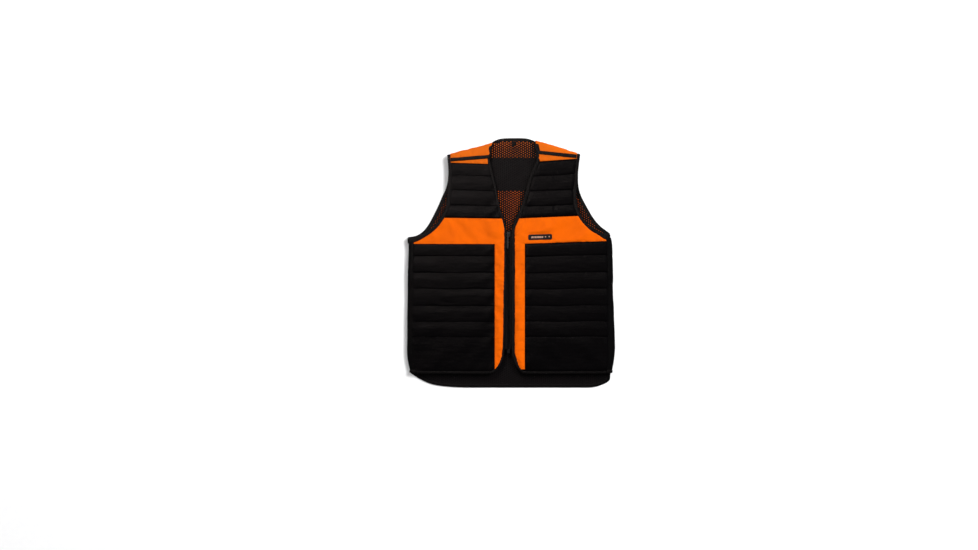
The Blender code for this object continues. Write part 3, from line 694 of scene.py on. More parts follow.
def limited(move, flat_limit, low, high):
    """The move with its height held between low and high, and its sideways part small."""
    found = move.copy()
    z = found[:, 2]
    found[:, 2] = np.where(z > 0, high * np.tanh(z / high), -low * np.tanh(-z / low))
    found[:, :2] = flat_limit * np.tanh(found[:, :2] / flat_limit)
    return found


def rumpled(points, slant, fine, seed, amount):
    """Starting ripples for the simulation: folds that run along the slant, with finer noise."""
    across = points[:, 0] * math.cos(slant) + points[:, 1] * math.sin(slant)
    down = -points[:, 0] * math.sin(slant) + points[:, 1] * math.cos(slant)
    folds = hills(np.column_stack([across * 3.2, down]), 14.0, seed)
    small = hills(points, fine, seed + 5.0)
    z = amount * (folds + 0.4 * small)
    return np.column_stack([np.zeros(len(z)), np.zeros(len(z)), z])


def seams(points, quads, sewn=None):
    """How far each point is from the cloth's edges, and pins for the edges and for the rows that are sewn."""
    edges = open_edges(quads)
    pins = np.zeros(len(points))
    if sewn is not None:
        pins = np.where(np.repeat(sewn, len(points) // len(sewn)), 0.9, 0.0)
    pins[np.unique(np.array(edges).ravel())] = 1.0
    return edge_distance(points, edges), pins


def rounded(d, radius):
    """1 at an edge and 0 from the radius inwards, as a quarter circle; d is the distance from the edge."""
    return 1 - np.sqrt(1 - (1 - np.clip(d / radius, 0, 1)) ** 2)


def dress(piece, slot, *nodes, body=None):
    """Hides the CAD nodes that a piece stands for and fixes the piece to the body that it rides on; slot is
    not used.
    """
    if nodes:
        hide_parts(*nodes)
    if body:
        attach(piece, body)


# ---------------------------------------------------------------- the two fronts

def arm_width(key, line):
    """How wide the binding is along a front armhole; it widens towards its lower end."""
    away = np.linalg.norm(line[:, :2] - key["front_arm"][-1], axis=1)
    return ARM_BINDING + key["arm_end_widens"] * smooth(1 - away / key["arm_end_reach"])


def rim_width(key, line):
    """How wide the binding is along a front's edge; it is widest beside the zip."""
    beside_zip = smooth((line[:, 1] - HEM_Y - 10 * MM) / (30 * MM))
    return RIM_BINDING + (key["rim_binding"] - RIM_BINDING) * beside_zip


class Front:
    """The lines that bound one front's pieces."""

    def __init__(self, label):
        key = SIDES[label]
        self.label, self.key, self.sign = label, key, key["sign"]
        self.body = label + "_front"
        rim = curve(key["rim"])
        arm = curve(key["front_arm"])
        self.near = falling(shifted(rim, self.sign * (rim_width(key, rim) - UNDER_BINDING)[:, None]))
        self.arm_in = falling(shifted(arm, -self.sign * (arm_width(key, arm) - UNDER_BINDING)[:, None]))
        self.seam = falling(shifted(curve(key["outline"]), -self.sign * GUSSET_DEEP))
        known = [(LEVEL_BELOW, 0.0)]
        self.levels = {}
        for name in ("band_bottom", "band_top", "chest_seam", "stripe"):
            (x0, y0), (x1, y1) = key[name]
            slope = (y1 - y0) / (x1 - x0)
            self.levels[name] = y0 - slope * x0
            known.append((self.levels[name], slope))
        heights, slopes = zip(*known)
        self.slope = lambda y: np.interp(y, heights, slopes)
        (x0, y0), (x1, y1) = key["crease"]
        long = math.hypot(x1 - x0, y1 - y0)
        self.middle = np.array([(x0 + x1) / 2, (y0 + y1) / 2])
        self.normal = -self.sign * np.array([-(y1 - y0), (x1 - x0)]) / long
        if self.normal[0] * self.sign > 0:
            self.normal = -self.normal

    def named(self, names):
        """The names with this front's label before them."""
        return [self.label + "_" + name for name in names]

    def far(self, y):
        return self.sign * np.minimum(np.abs(self.arm_in(y)), np.abs(self.seam(y)))

    def reach(self, level, edge):
        """Where the row that starts at level on the Y axis meets an edge."""
        x = edge(level)
        for _ in range(25):
            x = 0.5 * x + 0.5 * edge(level + self.slope(level) * x)
        return x

    def strip_side(self, y):
        """The edge of the strip beside the zip, or of the front where that curves past the strip."""
        near, edge = self.near(y), self.key["strip_edge"]
        return np.where(self.sign * near > self.sign * edge, near, edge)

    def limits(self, levels, edge):
        """Where the rows at the levels start, at an edge near the zip, and end, at the far side."""
        return (np.array([self.reach(level, side) for level in levels]) for side in (edge, self.far))

    def rows(self, levels, shares, start, end):
        """Points on each row, at the shares of the way from start to end."""
        slope = self.slope(levels)
        x = start[:, None] + (end - start)[:, None] * shares[None, :]
        return x, levels[:, None] + slope[:, None] * x

    def bend(self, piece):
        """Bakes the piece's placement into its mesh."""
        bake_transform(piece)


def tucked_rows(high, low, tucks, step):
    """The level, the height and whether it is sewn, of each row of a tucked panel from high to low."""
    found = []
    start, depth = high, 0.0
    for level, strength in [*tucks, (low, 0.0)]:
        drop, curl = LIP_DROP * strength, LIP_ROUND * strength
        bottom = level - LIP_REACH * strength
        count = max(int((start - bottom - curl) / step), 4)
        for i in range(count + 1):
            at = start + (bottom + curl - start) * i / count
            t = start - at
            share = t / (start - bottom)
            height = -depth * (1 - smooth(t / RECOVER)) + PUFF * math.sin(math.pi * share) ** 0.8
            rib = 0.22 * MM * math.sin(2 * math.pi * t / (7.5 * MM)) * math.sin(math.pi * share)
            found.append((at, float(height) + rib, i == 0 or (strength == 0 and i == count)))
        if strength:
            for angle in np.radians((50, 100, 150, 180)):
                found.append((bottom + curl - curl * math.sin(angle), -curl + curl * math.cos(angle), False))
            found.append((level - 1.2 * MM * strength, -0.9 * drop, False))
        start, depth = level, drop
    return found


def unrolled(rows, high, low):
    """The rows as arrays: level, height, whether sewn, run over the tucks, and level once pulled flat."""
    level, height, sewn = (np.array(column) for column in zip(*rows))
    run = run_of(np.column_stack([level, height]))
    return level, height, sewn, run, high + (low - high) * run / run[-1]


def pucker(points, d, seed, amount):
    """Small gathers across a sewn edge, which die away from it."""
    gathers = hills(points[:, :2] * np.array([1.4, 0.25]), 150.0, seed)
    return amount * gathers * np.exp(-d / (7 * MM))


def quilted_panel(front, name, high, low, edge_in, tucks, replaced, seed, wrinkle):
    """A wadded black panel with tucks across it."""
    at_x = front.sign * 0.12
    levels = [(y - float(front.slope(y)) * at_x, s) for y, s in tucks]
    rows = tucked_rows(high, low, levels, 2.9 * MM)
    level, height, sewn, run, flat_level = unrolled(rows, high, low)
    start, end = front.limits(level, edge_in)
    shares = spread(float(np.abs(end - start).mean()), 4.2 * MM)
    x, y = front.rows(level, shares, start, end)
    flat_x, flat_y = front.rows(flat_level, shares, *front.limits(flat_level, edge_in))
    shape = (len(rows), len(shares))
    inner = smooth(np.minimum(high - level, level - low) / (25 * MM))[:, None]
    inner = inner * (4 * shares * (1 - shares))[None, :] ** 0.5
    at = np.column_stack([x.ravel(), level.repeat(shape[1])])
    y = y + 2.6 * MM * inner * hills(at * np.array([1.0, 0.7]), 11.0, seed + 20).reshape(shape)
    lift = height[:, None] * (1 + 0.7 * hills(at, 13.0, seed + 21).reshape(shape))
    streaks = hills(at * np.array([0.35, 1.6]), 85.0, seed + 22)
    streaks += 0.8 * hills(at * np.array([0.6, 1.0]), 40.0, seed + 23)
    lift = lift + 0.45 * MM * inner**0.5 * streaks.reshape(shape)
    quads = quads_of(*shape)
    points = np.stack([flat_x, flat_y, np.zeros(shape)], -1).reshape(-1, 3)
    d, pins = seams(points, quads, sewn)
    to_row = np.min(np.abs(flat_level[:, None] - flat_level[sewn][None, :]), 1)
    to_row = np.repeat(to_row, shape[1])

    def finish(move):
        move = limited(move, 0.5 * MM, 0.9 * MM, 1.7 * MM)
        top = np.stack([x, y, lift], -1).reshape(-1, 3)
        plan = top[:, :2].copy()
        top += move
        top[:, 2] += FRONT_TOP - 2.0 * MM * rounded(d, 6 * MM) + swell(plan)
        top[:, 2] += pucker(plan, to_row, seed, 0.45 * MM) + pucker(plan[:, ::-1], d, seed + 2, 0.3 * MM)
        lean = plan @ np.array([[0.75, -0.3 * front.sign], [0.65 * front.sign, 0.3]])
        near_hem = smooth((LEVEL_BELOW - plan[:, 1]) / 0.06)
        top[:, 2] += wrinkle * near_hem * hills(lean, 26.0, seed + 9) * smooth(d / (12 * MM))
        bottom = on_plan(points, FRONT_UNDER + 0.1 * MM + 0.5 * MM * np.exp(-d / (2 * MM)))
        uv = np.column_stack([points[:, 0], np.repeat(-run, shape[1])])
        piece = shell(front.label + "_" + name, top, bottom, quads, uv, BLACK)
        dress(piece, "black_fabric", *front.named(replaced))
        front.bend(piece)

    ripple = rumpled(points, 1.2, 60.0, seed, 0.5 * MM)
    lay(front.label + "_" + name, points, quads, pins, 0.035, 3.0, ripple, finish)


def label_frame():
    """The middle of the label patch and half its size."""
    low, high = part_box("label_patch")
    return (low + high) / 2, (high - low) / 2


def orange_front(front, seed):
    """The chest band and the strip beside the zip, cut as one piece."""
    sign, edge = front.sign, front.key["strip_edge"]
    band_high, band_low = front.levels["band_top"], front.levels["band_bottom"]
    band = np.concatenate([
        band_high - np.array([0.0, 0.5, 1.4, 2.8]) * MM,
        np.linspace(band_high - 4.6 * MM, band_low, 20),
    ])
    strip = np.concatenate([
        np.linspace(band_low, STRIP_LOW + 6 * MM, 96)[1:],
        STRIP_LOW + np.array([4.0, 2.0, 0.8, 0.0]) * MM,
    ])
    near_shares = spread(0.028, 3.4 * MM, (0.0, 0.6, 1.8))
    far_shares = spread(0.2, 4.0 * MM)[5:]
    level = np.concatenate([band, strip])
    slope = front.slope(level)[:, None]
    start, end = front.limits(level, front.near)
    gap = 0.6 * MM
    start = np.where((level < 0) & (sign * (edge - start) < gap), edge - sign * gap, start)
    x_near = start[:, None] + (edge - start)[:, None] * near_shares
    rows, n_near, width = len(band), len(near_shares), len(near_shares) + len(far_shares)
    band_x = np.concatenate([x_near[:rows], edge + (end[:rows, None] - edge) * far_shares], 1)
    strip_x = x_near[rows:]
    flat = np.vstack([
        np.stack([band_x, band[:, None] + slope[:rows] * band_x], -1).reshape(-1, 2),
        np.stack([strip_x, strip[:, None] + slope[rows:] * strip_x], -1).reshape(-1, 2),
    ])
    points = on_plan(flat)
    first = rows * width
    band_quads = quads_of(rows, width)
    above, below = first - width + np.arange(n_near), first + np.arange(n_near)
    join = np.stack([above[:-1], below[:-1], below[1:], above[1:]], 1)
    strip_quads = np.vstack([quads_of(len(strip), n_near, first), join])
    quads = np.vstack([band_quads, strip_quads])
    d, pins = seams(points, quads)
    calm = 1.0
    if front.label == "left":
        middle, half = label_frame()
        off_x = np.abs(flat[:, 0] - middle.x) - half.x - 2 * MM
        off_y = np.abs(flat[:, 1] - middle.y) - half.y - 1 * MM
        off = np.maximum(off_x, off_y)
        pins = np.where(off < 0, 1.0, pins)
        calm = smooth(off / (8 * MM))

    def finish(move):
        top = points + limited(move, 0.4 * MM, 0.9 * MM, 1.9 * MM)
        slant = flat @ np.array([[0.7, 0.28 * sign], [-0.7 * sign, 0.28]])
        sway = np.column_stack([hills(flat, 14.0, seed + 6), hills(flat, 14.0, seed + 7)])
        bent = slant + 12 * MM * sway
        ridges = 1 - np.minimum(np.abs(hills(bent, 21.0, seed + 2.5)) * 3.6, 1.0)
        waves = 5.2 * MM * hills(bent, 40.0, seed + 1.5) + 0.8 * MM * hills(bent, 90.0, seed + 8)
        waves = (waves + 2.8 * MM * ridges**2) * smooth(d / (11 * MM)) * calm
        top[:, 2] += FRONT_TOP + 0.1 * MM - 0.9 * MM * rounded(d, 2.6 * MM) + swell(flat)
        top[:, 2] += waves + pucker(flat, d, seed + 3, 0.3 * MM)
        bottom = on_plan(points, top[:, 2] - np.where(d < 1e-9, 0.8, 1.5) * MM)
        for name, part, replaced in (
            ("orange_band", band_quads, ("chest_band_side", "chest_band_flap")),
            ("orange_strip", strip_quads, ("front_strip",)),
        ):
            used, again = np.unique(part, return_inverse=True)
            part = again.reshape(part.shape)
            name = front.label + "_" + name
            piece = shell(name, top[used], bottom[used], part, flat[used], ORANGE, cut=True)
            dress(piece, "orange_fabric", *front.named(replaced))
            front.bend(piece)
        for name, at, inward, near in (
            ("band_top", band_high, -1, front.reach(band_high, front.near)),
            ("band_bottom", band_low, 1, edge),
        ):
            far = front.reach(at, front.far)
            xs = np.linspace(near + sign * 4 * MM, far - sign * 4 * MM, 90)
            ys = at + inward * SEAM_TO_STITCH + float(front.slope(at)) * xs
            sew_line(front, name, xs, ys, points, top)
        ys = np.linspace(band_low + 2 * MM, STRIP_LOW + 16 * MM, 120)
        sew_line(front, "strip", np.full(120, edge - sign * SEAM_TO_STITCH), ys, points, top)

    ripple = rumpled(points, -0.8 * sign, 50.0, seed, 0.6 * MM)
    lay(front.label + "_orange_front", points, quads, pins, 0.03, 1.2, ripple, finish)


def sew_line(front, name, xs, ys, points, top):
    """A row of orange stitches on the top of a piece, along a line."""
    z = []
    for x, y in zip(xs, ys):
        near = np.argsort((points[:, 0] - x) ** 2 + (points[:, 1] - y) ** 2)[:4]
        weight = 1 / (np.hypot(points[near, 0] - x, points[near, 1] - y) + 0.2 * MM)
        z.append(float((top[near, 2] * weight).sum() / weight.sum()))
    z = np.convolve(np.pad(z, 2, "edge"), np.ones(5) / 5, "valid") + 0.12 * MM
    line = np.column_stack([xs, ys, z])
    up = np.tile([0.0, 0.0, 1.0], (len(line), 1))
    piece = stitches(f"{front.label}_{name}_stitches", line, along(line), up, ORANGE_THREAD)
    if name == "strip":
        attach(piece, front.body)
    else:
        front.bend(piece)


def front_lining(front, seed):
    """The mesh inside a front."""
    level = np.linspace(front.levels["chest_seam"], HEM_Y + RIM_BINDING - UNDER_BINDING, 120)
    shares = spread(0.24, 6 * MM, (0.0, 3.0))
    x, y = front.rows(level, shares, *front.limits(level, front.near))
    quads = quads_of(*x.shape)
    points = np.column_stack([x.ravel(), y.ravel(), np.zeros(x.size)])
    d, pins = seams(points, quads)

    def finish(move):
        top = points + limited(move, 0.4 * MM, 0.9 * MM, 0.5 * MM)
        top[:, 2] += LINING_Z - 0.6 * MM * smooth(d / (20 * MM)) * (1 + hills(points, 30.0, seed + 4))
        piece = make(front.label + "_front_lining", top, quads, points[:, :2], NETTING)
        dress(piece, "black_mesh", *front.named(("front_lining_side", "front_lining_flap")))
        front.bend(piece)

    ripple = rumpled(points, 0.3, 40.0, seed, 0.4 * MM)
    lay(front.label + "_front_lining", points, quads, pins, 0.012, -0.3, ripple, finish)


def on_back(piece):
    """Fixes a binding to the back's body."""
    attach(piece, "vest_back")


def sewn_binding(name, thread, path, inward, half, width, nodes, hold, turn, seed, face=1, closed=False):
    """A folded tape and the stitches on one face, 1 for its outer one and -1 for its inner one.

    hold is called with both pieces, to fix them to their body."""
    tape, way, into, up = folded_tape(name, path, inward, half, width, TAPE, turn, closed, seed)
    seam = path + into * (width - 2 * MM)[:, None] + face * up * (half * 0.86)[:, None]
    for piece in (tape, stitches(thread, seam, way, face * up, BLACK_THREAD)):
        hold(piece)
    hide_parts(*nodes)


def rim_binding(front, seed):
    """The binding from the neck, down beside the zip and along the hem."""
    line = even(curve(front.key["rim"], 10), 3.2 * MM)
    sewn_binding(
        front.label + "_rim_binding", front.label + "_rim_stitches", on_plan(line, EDGE_MID + swell(line)),
        leftward(line) * front.sign, np.full(len(line), EDGE_HALF), rim_width(front.key, line),
        front.named(("edge_binding", "hem_binding_side")), front.bend, front.sign, seed,
    )


# ---------------------------------------------------------------- shoulders and sides

def wrapped(rear, ridge, forward, low, high, count, power=2.6):
    """Points over an edge: from rear at the low height, round the ridge, to forward at the high height."""
    angle = np.linspace(-math.pi / 2, math.pi / 2, 91)
    out = np.abs(np.cos(angle)) ** (2 / power)
    lift = np.sign(np.sin(angle)) * np.abs(np.sin(angle)) ** (2 / power)
    rows = []
    for b, o, f in zip(rear, ridge, forward):
        base = np.where(angle[:, None] < 0, b[None, :], f[None, :])
        flat = base + (o - base) * out[:, None]
        z = low + (high - low) * (1 + lift) / 2
        line = np.column_stack([flat, z])
        run = run_of(line)
        at = np.linspace(0, run[-1], count)
        rows.append(np.column_stack([np.interp(at, run, line[:, k]) for k in range(3)]))
    return np.array(rows)


def wrap_piece(name, grid, inside, material, slot, node, seed, grow, amount, most):
    """A sheet that wraps round an edge of the vest; inside is a point that its inner face looks at."""
    rows, columns = grid.shape[:2]
    points = grid.reshape(-1, 3)
    quads = quads_of(rows, columns)
    pins = seams(points, quads)[1]
    normal = np.cross(np.gradient(grid, axis=0), np.gradient(grid, axis=1))
    normal /= np.linalg.norm(normal, axis=2, keepdims=True) + 1e-12
    normal = normal.reshape(-1, 3)
    if np.sum(normal * (points - np.array(inside))) < 0:
        normal = -normal
    down = run_of(grid[:, columns // 2])
    over = run_of(grid[rows // 2])
    uv = np.stack(np.meshgrid(over, down), -1).reshape(-1, 2)
    swells = hills(uv * np.array([1.0, 0.8]), 38.0, seed) + 0.4 * hills(uv, 90.0, seed + 2)
    ripple = normal * (amount * swells)[:, None]

    def finish(move):
        lift = most * np.tanh(np.sum(move * normal, 1) / most)
        outer = points + normal * lift[:, None]
        outer[:, 2] = np.maximum(outer[:, 2], 0.0)
        piece = shell(name, outer, outer - normal * 1.6 * MM, quads, uv, material, "vest_back")
        dress(piece, slot, node)

    lay(name, points, quads, pins, grow, 0.5, ripple, finish)


def side_gusset(front, seed):
    """The strip that joins a front to the back round the side."""
    line = even(curve(front.key["outline"]), 5 * MM)
    inner = shifted(line, -front.sign * (GUSSET_DEEP + 0.5 * MM))
    # below the band the upper edge goes on under the panel, whose own edge is drawn in there
    slip = smooth((-0.03 - line[:, 1]) / 0.05)
    under = inner.copy()
    under[:, 0] -= front.sign * 9 * MM * slip
    grid = wrapped(inner, line, under, 0.3 * MM, FRONT_TOP - 0.4 * MM, 19)
    grid[..., 2] *= 1 - 0.08 * slip[:, None]
    node = front.label + "_side_gusset"
    inside = (0.0, -0.1, 0.011)
    wrap_piece(node + "_cloth", grid, inside, GUSSET, "black_fabric", node, seed, 0.008, 0.25 * MM, 0.7 * MM)


def between(first, last, count=32):
    """Points evenly from the first to the last."""
    shares = np.linspace(0, 1, count)[:, None]
    return np.array(first) * (1 - shares) + np.array(last) * shares


def shoulder_fold(front, seed):
    """The yoke's cloth, which comes from the back over the shoulder."""
    sign = front.sign
    (neck_x, neck_y), (arm_x, arm_y) = front.key["fold"]
    (stripe_x, stripe_y), (stripe_end_x, stripe_end_y) = front.key["stripe"]
    rise = (neck_y - arm_y) / abs(arm_x - neck_x)
    under = 5.0 * MM
    neck_x -= sign * under
    arm_x += sign * 2.5 * MM
    ridge = between((neck_x, neck_y + rise * under + 1.2 * MM), (arm_x, arm_y + 1.8 * MM))
    rear = between((neck_x, neck_y - 13 * MM), (arm_x, arm_y - 7 * MM))
    forward = between((stripe_x - sign * 6 * MM, stripe_y), (stripe_end_x + sign * 2.5 * MM, stripe_end_y))
    grid = wrapped(rear, ridge, forward, 0.1 * MM, FRONT_TOP, 26, 2.3)
    node = front.label + "_shoulder_fold"
    inside = (sign * 0.12, 0.29, 0.011)
    wrap_piece(
        node + "_cloth", grid, inside, SHADED_YOKE_ORANGE, "orange_fabric", node, seed, 0.02, 0.5 * MM, 1.4 * MM,
    )


def front_shoulder(front, seed):
    """The orange piece between the shoulder's stripe and the chest panel."""
    sign = front.sign
    (stripe_x, _), (stripe_end_x, _) = front.key["stripe"]
    level = np.linspace(front.levels["chest_seam"], front.levels["stripe"], 13)
    start = np.full(len(level), stripe_x - sign * 2.5 * MM)
    end = np.full(len(level), stripe_end_x + sign * 2.0 * MM)
    shares = spread(float(np.abs(end - start).mean()), 4 * MM)
    x, y = front.rows(level, shares, start, end)
    quads = quads_of(*x.shape)
    points = np.column_stack([x.ravel(), y.ravel(), np.zeros(x.size)])
    d, pins = seams(points, quads)
    name = front.label + "_front_shoulder"

    def finish(move):
        top = points + limited(move, 0.3 * MM, 0.5 * MM, 1.2 * MM)
        top[:, 2] += FRONT_TOP - 0.8 * MM * np.exp(-d / (1.2 * MM)) + swell(points)
        top[:, 2] += pucker(points, d, seed, 0.35 * MM)
        bottom = on_plan(points, top[:, 2] - 1.4 * MM)
        piece = shell(name, top, bottom, quads, points[:, :2], SHADED_YOKE_ORANGE, "vest_back")
        dress(piece, "orange_fabric", name + "_piece")

    lay(name, points, quads, pins, 0.02, 0.8, rumpled(points, 0.5, 60.0, seed, 0.3 * MM), finish)


def shoulder_stripe(front, seed):
    """The black tape over the seam of the shoulder."""
    (x, y), (end_x, end_y) = front.key["stripe"]
    ends = np.array([(x - front.sign * 6.5 * MM, y), (end_x + front.sign * 1.5 * MM, end_y)])
    line = even(ends, 3 * MM)
    side = leftward(line)
    path = on_plan(line, FRONT_TOP + 1.8 * MM) + side * STRIPE * 0.75
    stripe = folded_tape(
        front.label + "_shoulder_stripe_tape", path, -side, np.full(len(path), 1.3 * MM), STRIPE * 1.5, TAPE,
        seed=seed, groove=3.5 * MM,
    )[0]
    dress(stripe, "black_tape", front.label + "_shoulder_stripe", body="vest_back")


def eased(values):
    """The points of a closed line, each averaged with two neighbours on both sides."""
    return sum(np.roll(values, shift, axis=0) for shift in range(-2, 3)) / 5


def armhole(front, seed):
    """The binding round an armhole: down the front, over the side, up the back and over the shoulder."""
    key, sign = front.key, front.sign
    neck_end, arm_end = np.array(key["fold"])
    front_line, back_line = (
        even(line[line[:, 1] < arm_end[1] - 6 * MM], 3.2 * MM)
        for line in (curve(key["front_arm"], 12), curve(key["back_arm"], 12))
    )
    front_half = np.full(len(front_line), SLIM_HALF)
    back_half = np.full(len(back_line), BACK_HALF)
    front_part = on_plan(front_line, EDGE_MID + swell(front_line)), -sign * leftward(front_line), front_half
    back_part = on_plan(back_line, BACK_MID), -sign * leftward(back_line), back_half
    back_part = tuple(values[::-1] for values in back_part)
    front_ends = [np.array([*front_line[i], EDGE_MID]) for i in (0, -1)]
    back_ends = [np.array([*back_line[i], BACK_MID]) for i in (0, -1)]

    def corner(first, last, thick, out, into):
        """Turns from one layer to the other, out past the two edges."""
        angle = np.radians((20, 45, 70, 90, 110, 135, 160))
        share = ((1 - np.cos(angle)) / 2)[:, None]
        path = first * (1 - share) + last * share + np.array([*out, 0.0]) * np.sin(angle)[:, None] * 3 * MM
        half = thick[0] * (1 - share[:, 0]) + thick[1] * share[:, 0]
        return path, np.tile([*into, 0.0], (len(angle), 1)), half

    toward_neck = (neck_end - arm_end) / np.linalg.norm(neck_end - arm_end)
    side = corner(front_ends[1], back_ends[1], (SLIM_HALF, BACK_HALF), (sign * 0.25, -0.1), (0.0, -1.0))
    top = corner(back_ends[0], front_ends[0], (BACK_HALF, SLIM_HALF), (0.0, 0.55), toward_neck)
    path, inward, half = (np.concatenate(parts) for parts in zip(front_part, side, back_part, top))
    path, inward = eased(path), eased(inward)
    wide = ARM_BINDING + (arm_width(key, path) - ARM_BINDING) * smooth((path[:, 2] - 3 * MM) / (10 * MM))
    sewn_binding(
        front.label + "_armhole_binding", front.label + "_armhole_stitches", path, inward, half, wide,
        front.named(("armhole_binding_front", "armhole_binding_back")), on_back, -sign, seed, closed=True,
    )


# ---------------------------------------------------------------- the back

class Back:
    """The lines that bound the back's pieces."""

    def __init__(self):
        self.arm, self.seam = {}, {}
        shoulders, necks = {}, {}
        for label, key in SIDES.items():
            sign = key["sign"]
            self.arm[sign] = falling(shifted(curve(key["back_arm"]), -sign * (ARM_BINDING - UNDER_BINDING)))
            self.seam[sign] = falling(shifted(curve(key["outline"]), -sign * GUSSET_DEEP))
            shoulders[label] = np.array(key["fold"]) - [(0.0, 5 * MM), (0.0, 4 * MM)]
            necks[label] = [point[:2] for point in key["neck"][5:]]
        neck = curve([*necks["right"], NECK_MIDDLE[:2], *necks["left"][::-1]])
        neck = shifted(neck, -(NECK_BINDING - UNDER_BINDING))
        tail = curve([SIDES["right"]["tail"][0], *TAIL_LINE, SIDES["left"]["tail"][0]])
        tail = shifted(tail, HEM_BINDING - 4.5 * MM)
        self.top = self.height(np.vstack([shoulders["right"][::-1], neck, shoulders["left"]]))
        self.tail = self.height(tail)

    @staticmethod
    def height(line):
        """y for a given x along the line."""
        order = np.argsort(line[:, 0])
        return lambda x: np.interp(x, line[order, 0], line[order, 1])

    def limits(self, y):
        return [
            sign * np.minimum(np.abs(self.arm[sign](y)), np.abs(self.seam[sign](y))) for sign in (-1, 1)
        ]

    def grid(self, levels, shares):
        """Points on rows at the levels; past the yoke seam and the tail's start they follow the edge."""
        rows = []
        for y in levels:
            start, end = self.limits(min(max(y, TAIL_STARTS), YOKE_SEAM))
            x = start + (end - start) * shares
            if y > YOKE_SEAM:
                share = (y - YOKE_SEAM) / (BACK_HIGH - YOKE_SEAM)
                rows.append(np.column_stack([x, YOKE_SEAM + (self.top(x) - YOKE_SEAM) * share]))
            elif y < TAIL_STARTS:
                share = (TAIL_STARTS - y) / (TAIL_STARTS - BACK_LOW)
                rows.append(np.column_stack([x, TAIL_STARTS + (self.tail(x) - TAIL_STARTS) * share]))
            else:
                rows.append(np.column_stack([x, np.full(len(x), y)]))
        return np.array(rows).reshape(-1, 2)


def back_panel(back, name, high, low, material, slot, tucks, seed, grow):
    """A panel of the back's outer cloth; its outer face looks down."""
    if tucks:
        rows = tucked_rows(high, low, tucks, 4.5 * MM)
    else:
        count = max(int((high - low) / (5 * MM)), 6)
        rows = [(y, 0.0, False) for y in np.linspace(high, low, count)]
    level, height, sewn, run, flat_level = unrolled(rows, high, low)
    shares = spread(0.5, 7 * MM)
    across = len(shares)
    plan = back.grid(level, shares)
    points = on_plan(back.grid(flat_level, shares))
    quads = quads_of(len(rows), across)
    d, pins = seams(points, quads, sewn)

    def finish(move):
        move = limited(move, 0.4 * MM, 0.5 * MM, 0.5 * MM)
        relief = 0.5 * np.repeat(height, across) + move[:, 2] - 0.5 * MM - 0.7 * MM * rounded(d, 5 * MM)
        outer = on_plan(plan + move[:, :2], np.clip(0.1 * MM - relief, 0.0, 1.9 * MM))
        inner = on_plan(points, BACK_TOP - 0.15 * MM * np.abs(hills(points, 60.0, seed + 1)))
        uv = np.column_stack([points[:, 0], np.repeat(-run, across)])
        piece = shell(name + "_cloth", outer, inner, quads, uv, material, "vest_back")
        dress(piece, slot, name)

    lay(name, points, quads, pins, grow, 0.5, rumpled(points, 1.0, 50.0, seed, 0.3 * MM), finish)


def back_lining(back, seed):
    """The mesh inside the back, with its holes closed along the armholes as painted shade."""
    levels = np.linspace(BACK_HIGH - 1 * MM, BACK_LOW, 126)
    shares = spread(0.5, 6 * MM, (0.0, 3.0))
    points = on_plan(back.grid(levels, shares))
    quads = quads_of(len(levels), len(shares))
    d, pins = seams(points, quads)
    x, y = points[:, 0], points[:, 1]
    arm_edges = [(a, b) for a, b in open_edges(quads) if abs(x[a]) > 0.15 and 0.07 < y[a] < YOKE_SEAM]

    def finish(move):
        top = points + limited(move, 0.5 * MM, 0.3 * MM, 2.2 * MM)
        folds = hills(points[:, :2] * np.array([1.6, 0.5]), 18.0, seed + 3)
        top[:, 2] += BACK_LINING_Z + 1.1 * MM * smooth(d / (25 * MM)) * (1 + folds)
        piece = make("back_lining_mesh", top, quads, points[:, :2], NETTING, "vest_back")
        # painted shade: the holes close up near the armholes, where the front's layer shades the lining
        armhole_shade = 1 - smooth((edge_distance(points, arm_edges) - 15 * MM) / (15 * MM))
        piece.data.attributes.new("armhole_shade", "FLOAT", "POINT").data.foreach_set("value", armhole_shade)
        dress(piece, "black_mesh", "back_lining")

    ripple = rumpled(points, 0.2, 40.0, seed, 0.5 * MM)
    lay("back_lining", points, quads, pins, 0.015, 0.4, ripple, finish)


def climbing(keys, step):
    """A line that climbs from the back's layer to the front's; the keys' heights are in millimetres.

    Returns the keys in metres, a smooth line through them, how far up it is from 0 to 1, and half the
    height that its binding has there."""
    keys = np.array(keys, float) * (1, 1, MM)
    line = even(curve(keys, 10), step)
    line[:, 2] = np.maximum(line[:, 2], BACK_MID)
    share = smooth((line[:, 2] - BACK_MID) / (EDGE_MID - BACK_MID))
    return keys, line, share, BACK_HALF + (SLIM_HALF - BACK_HALF) * share


def neck_binding(seed):
    """The binding round the neck, from one front over the shoulders and round the back."""
    right, left = SIDES["right"]["neck"], SIDES["left"]["neck"]
    keys, line, share, half = climbing([*right, NECK_MIDDLE, *left[::-1]], 2.6 * MM)
    # the way into the cloth at a key's number, on the right and then mirrored on the left
    count = len(right)
    ways = [(0, -1, 0.15), (2, -1, 0.0), (3, -0.96, -0.27), (4, -0.45, -0.9), (5, 0.5, -0.87), (6, 0.15, -1)]
    ways += [(count, 0.0, -1.0), *((2 * count - number, -x, y) for number, x, y in ways[::-1])]
    number, way_x, way_y = np.array(ways).T
    key_run, run = run_of(keys), run_of(line)
    run = run / run[-1] * key_run[-1]
    at = key_run[number.astype(int)]
    inward = np.column_stack([np.interp(run, at, way_x), np.interp(run, at, way_y), np.zeros(len(line))])
    wide = NECK_BINDING + 4.5 * MM * np.convolve(np.pad(share, 6, "edge"), np.ones(13) / 13, "valid")
    nodes = ("neck_binding", "left_shoulder_neck_binding", "right_shoulder_neck_binding")
    sewn_binding(
        "neck_edge_binding", "neck_stitches_inside", line, inward, half, wide, nodes, on_back, 1, seed, -1,
    )


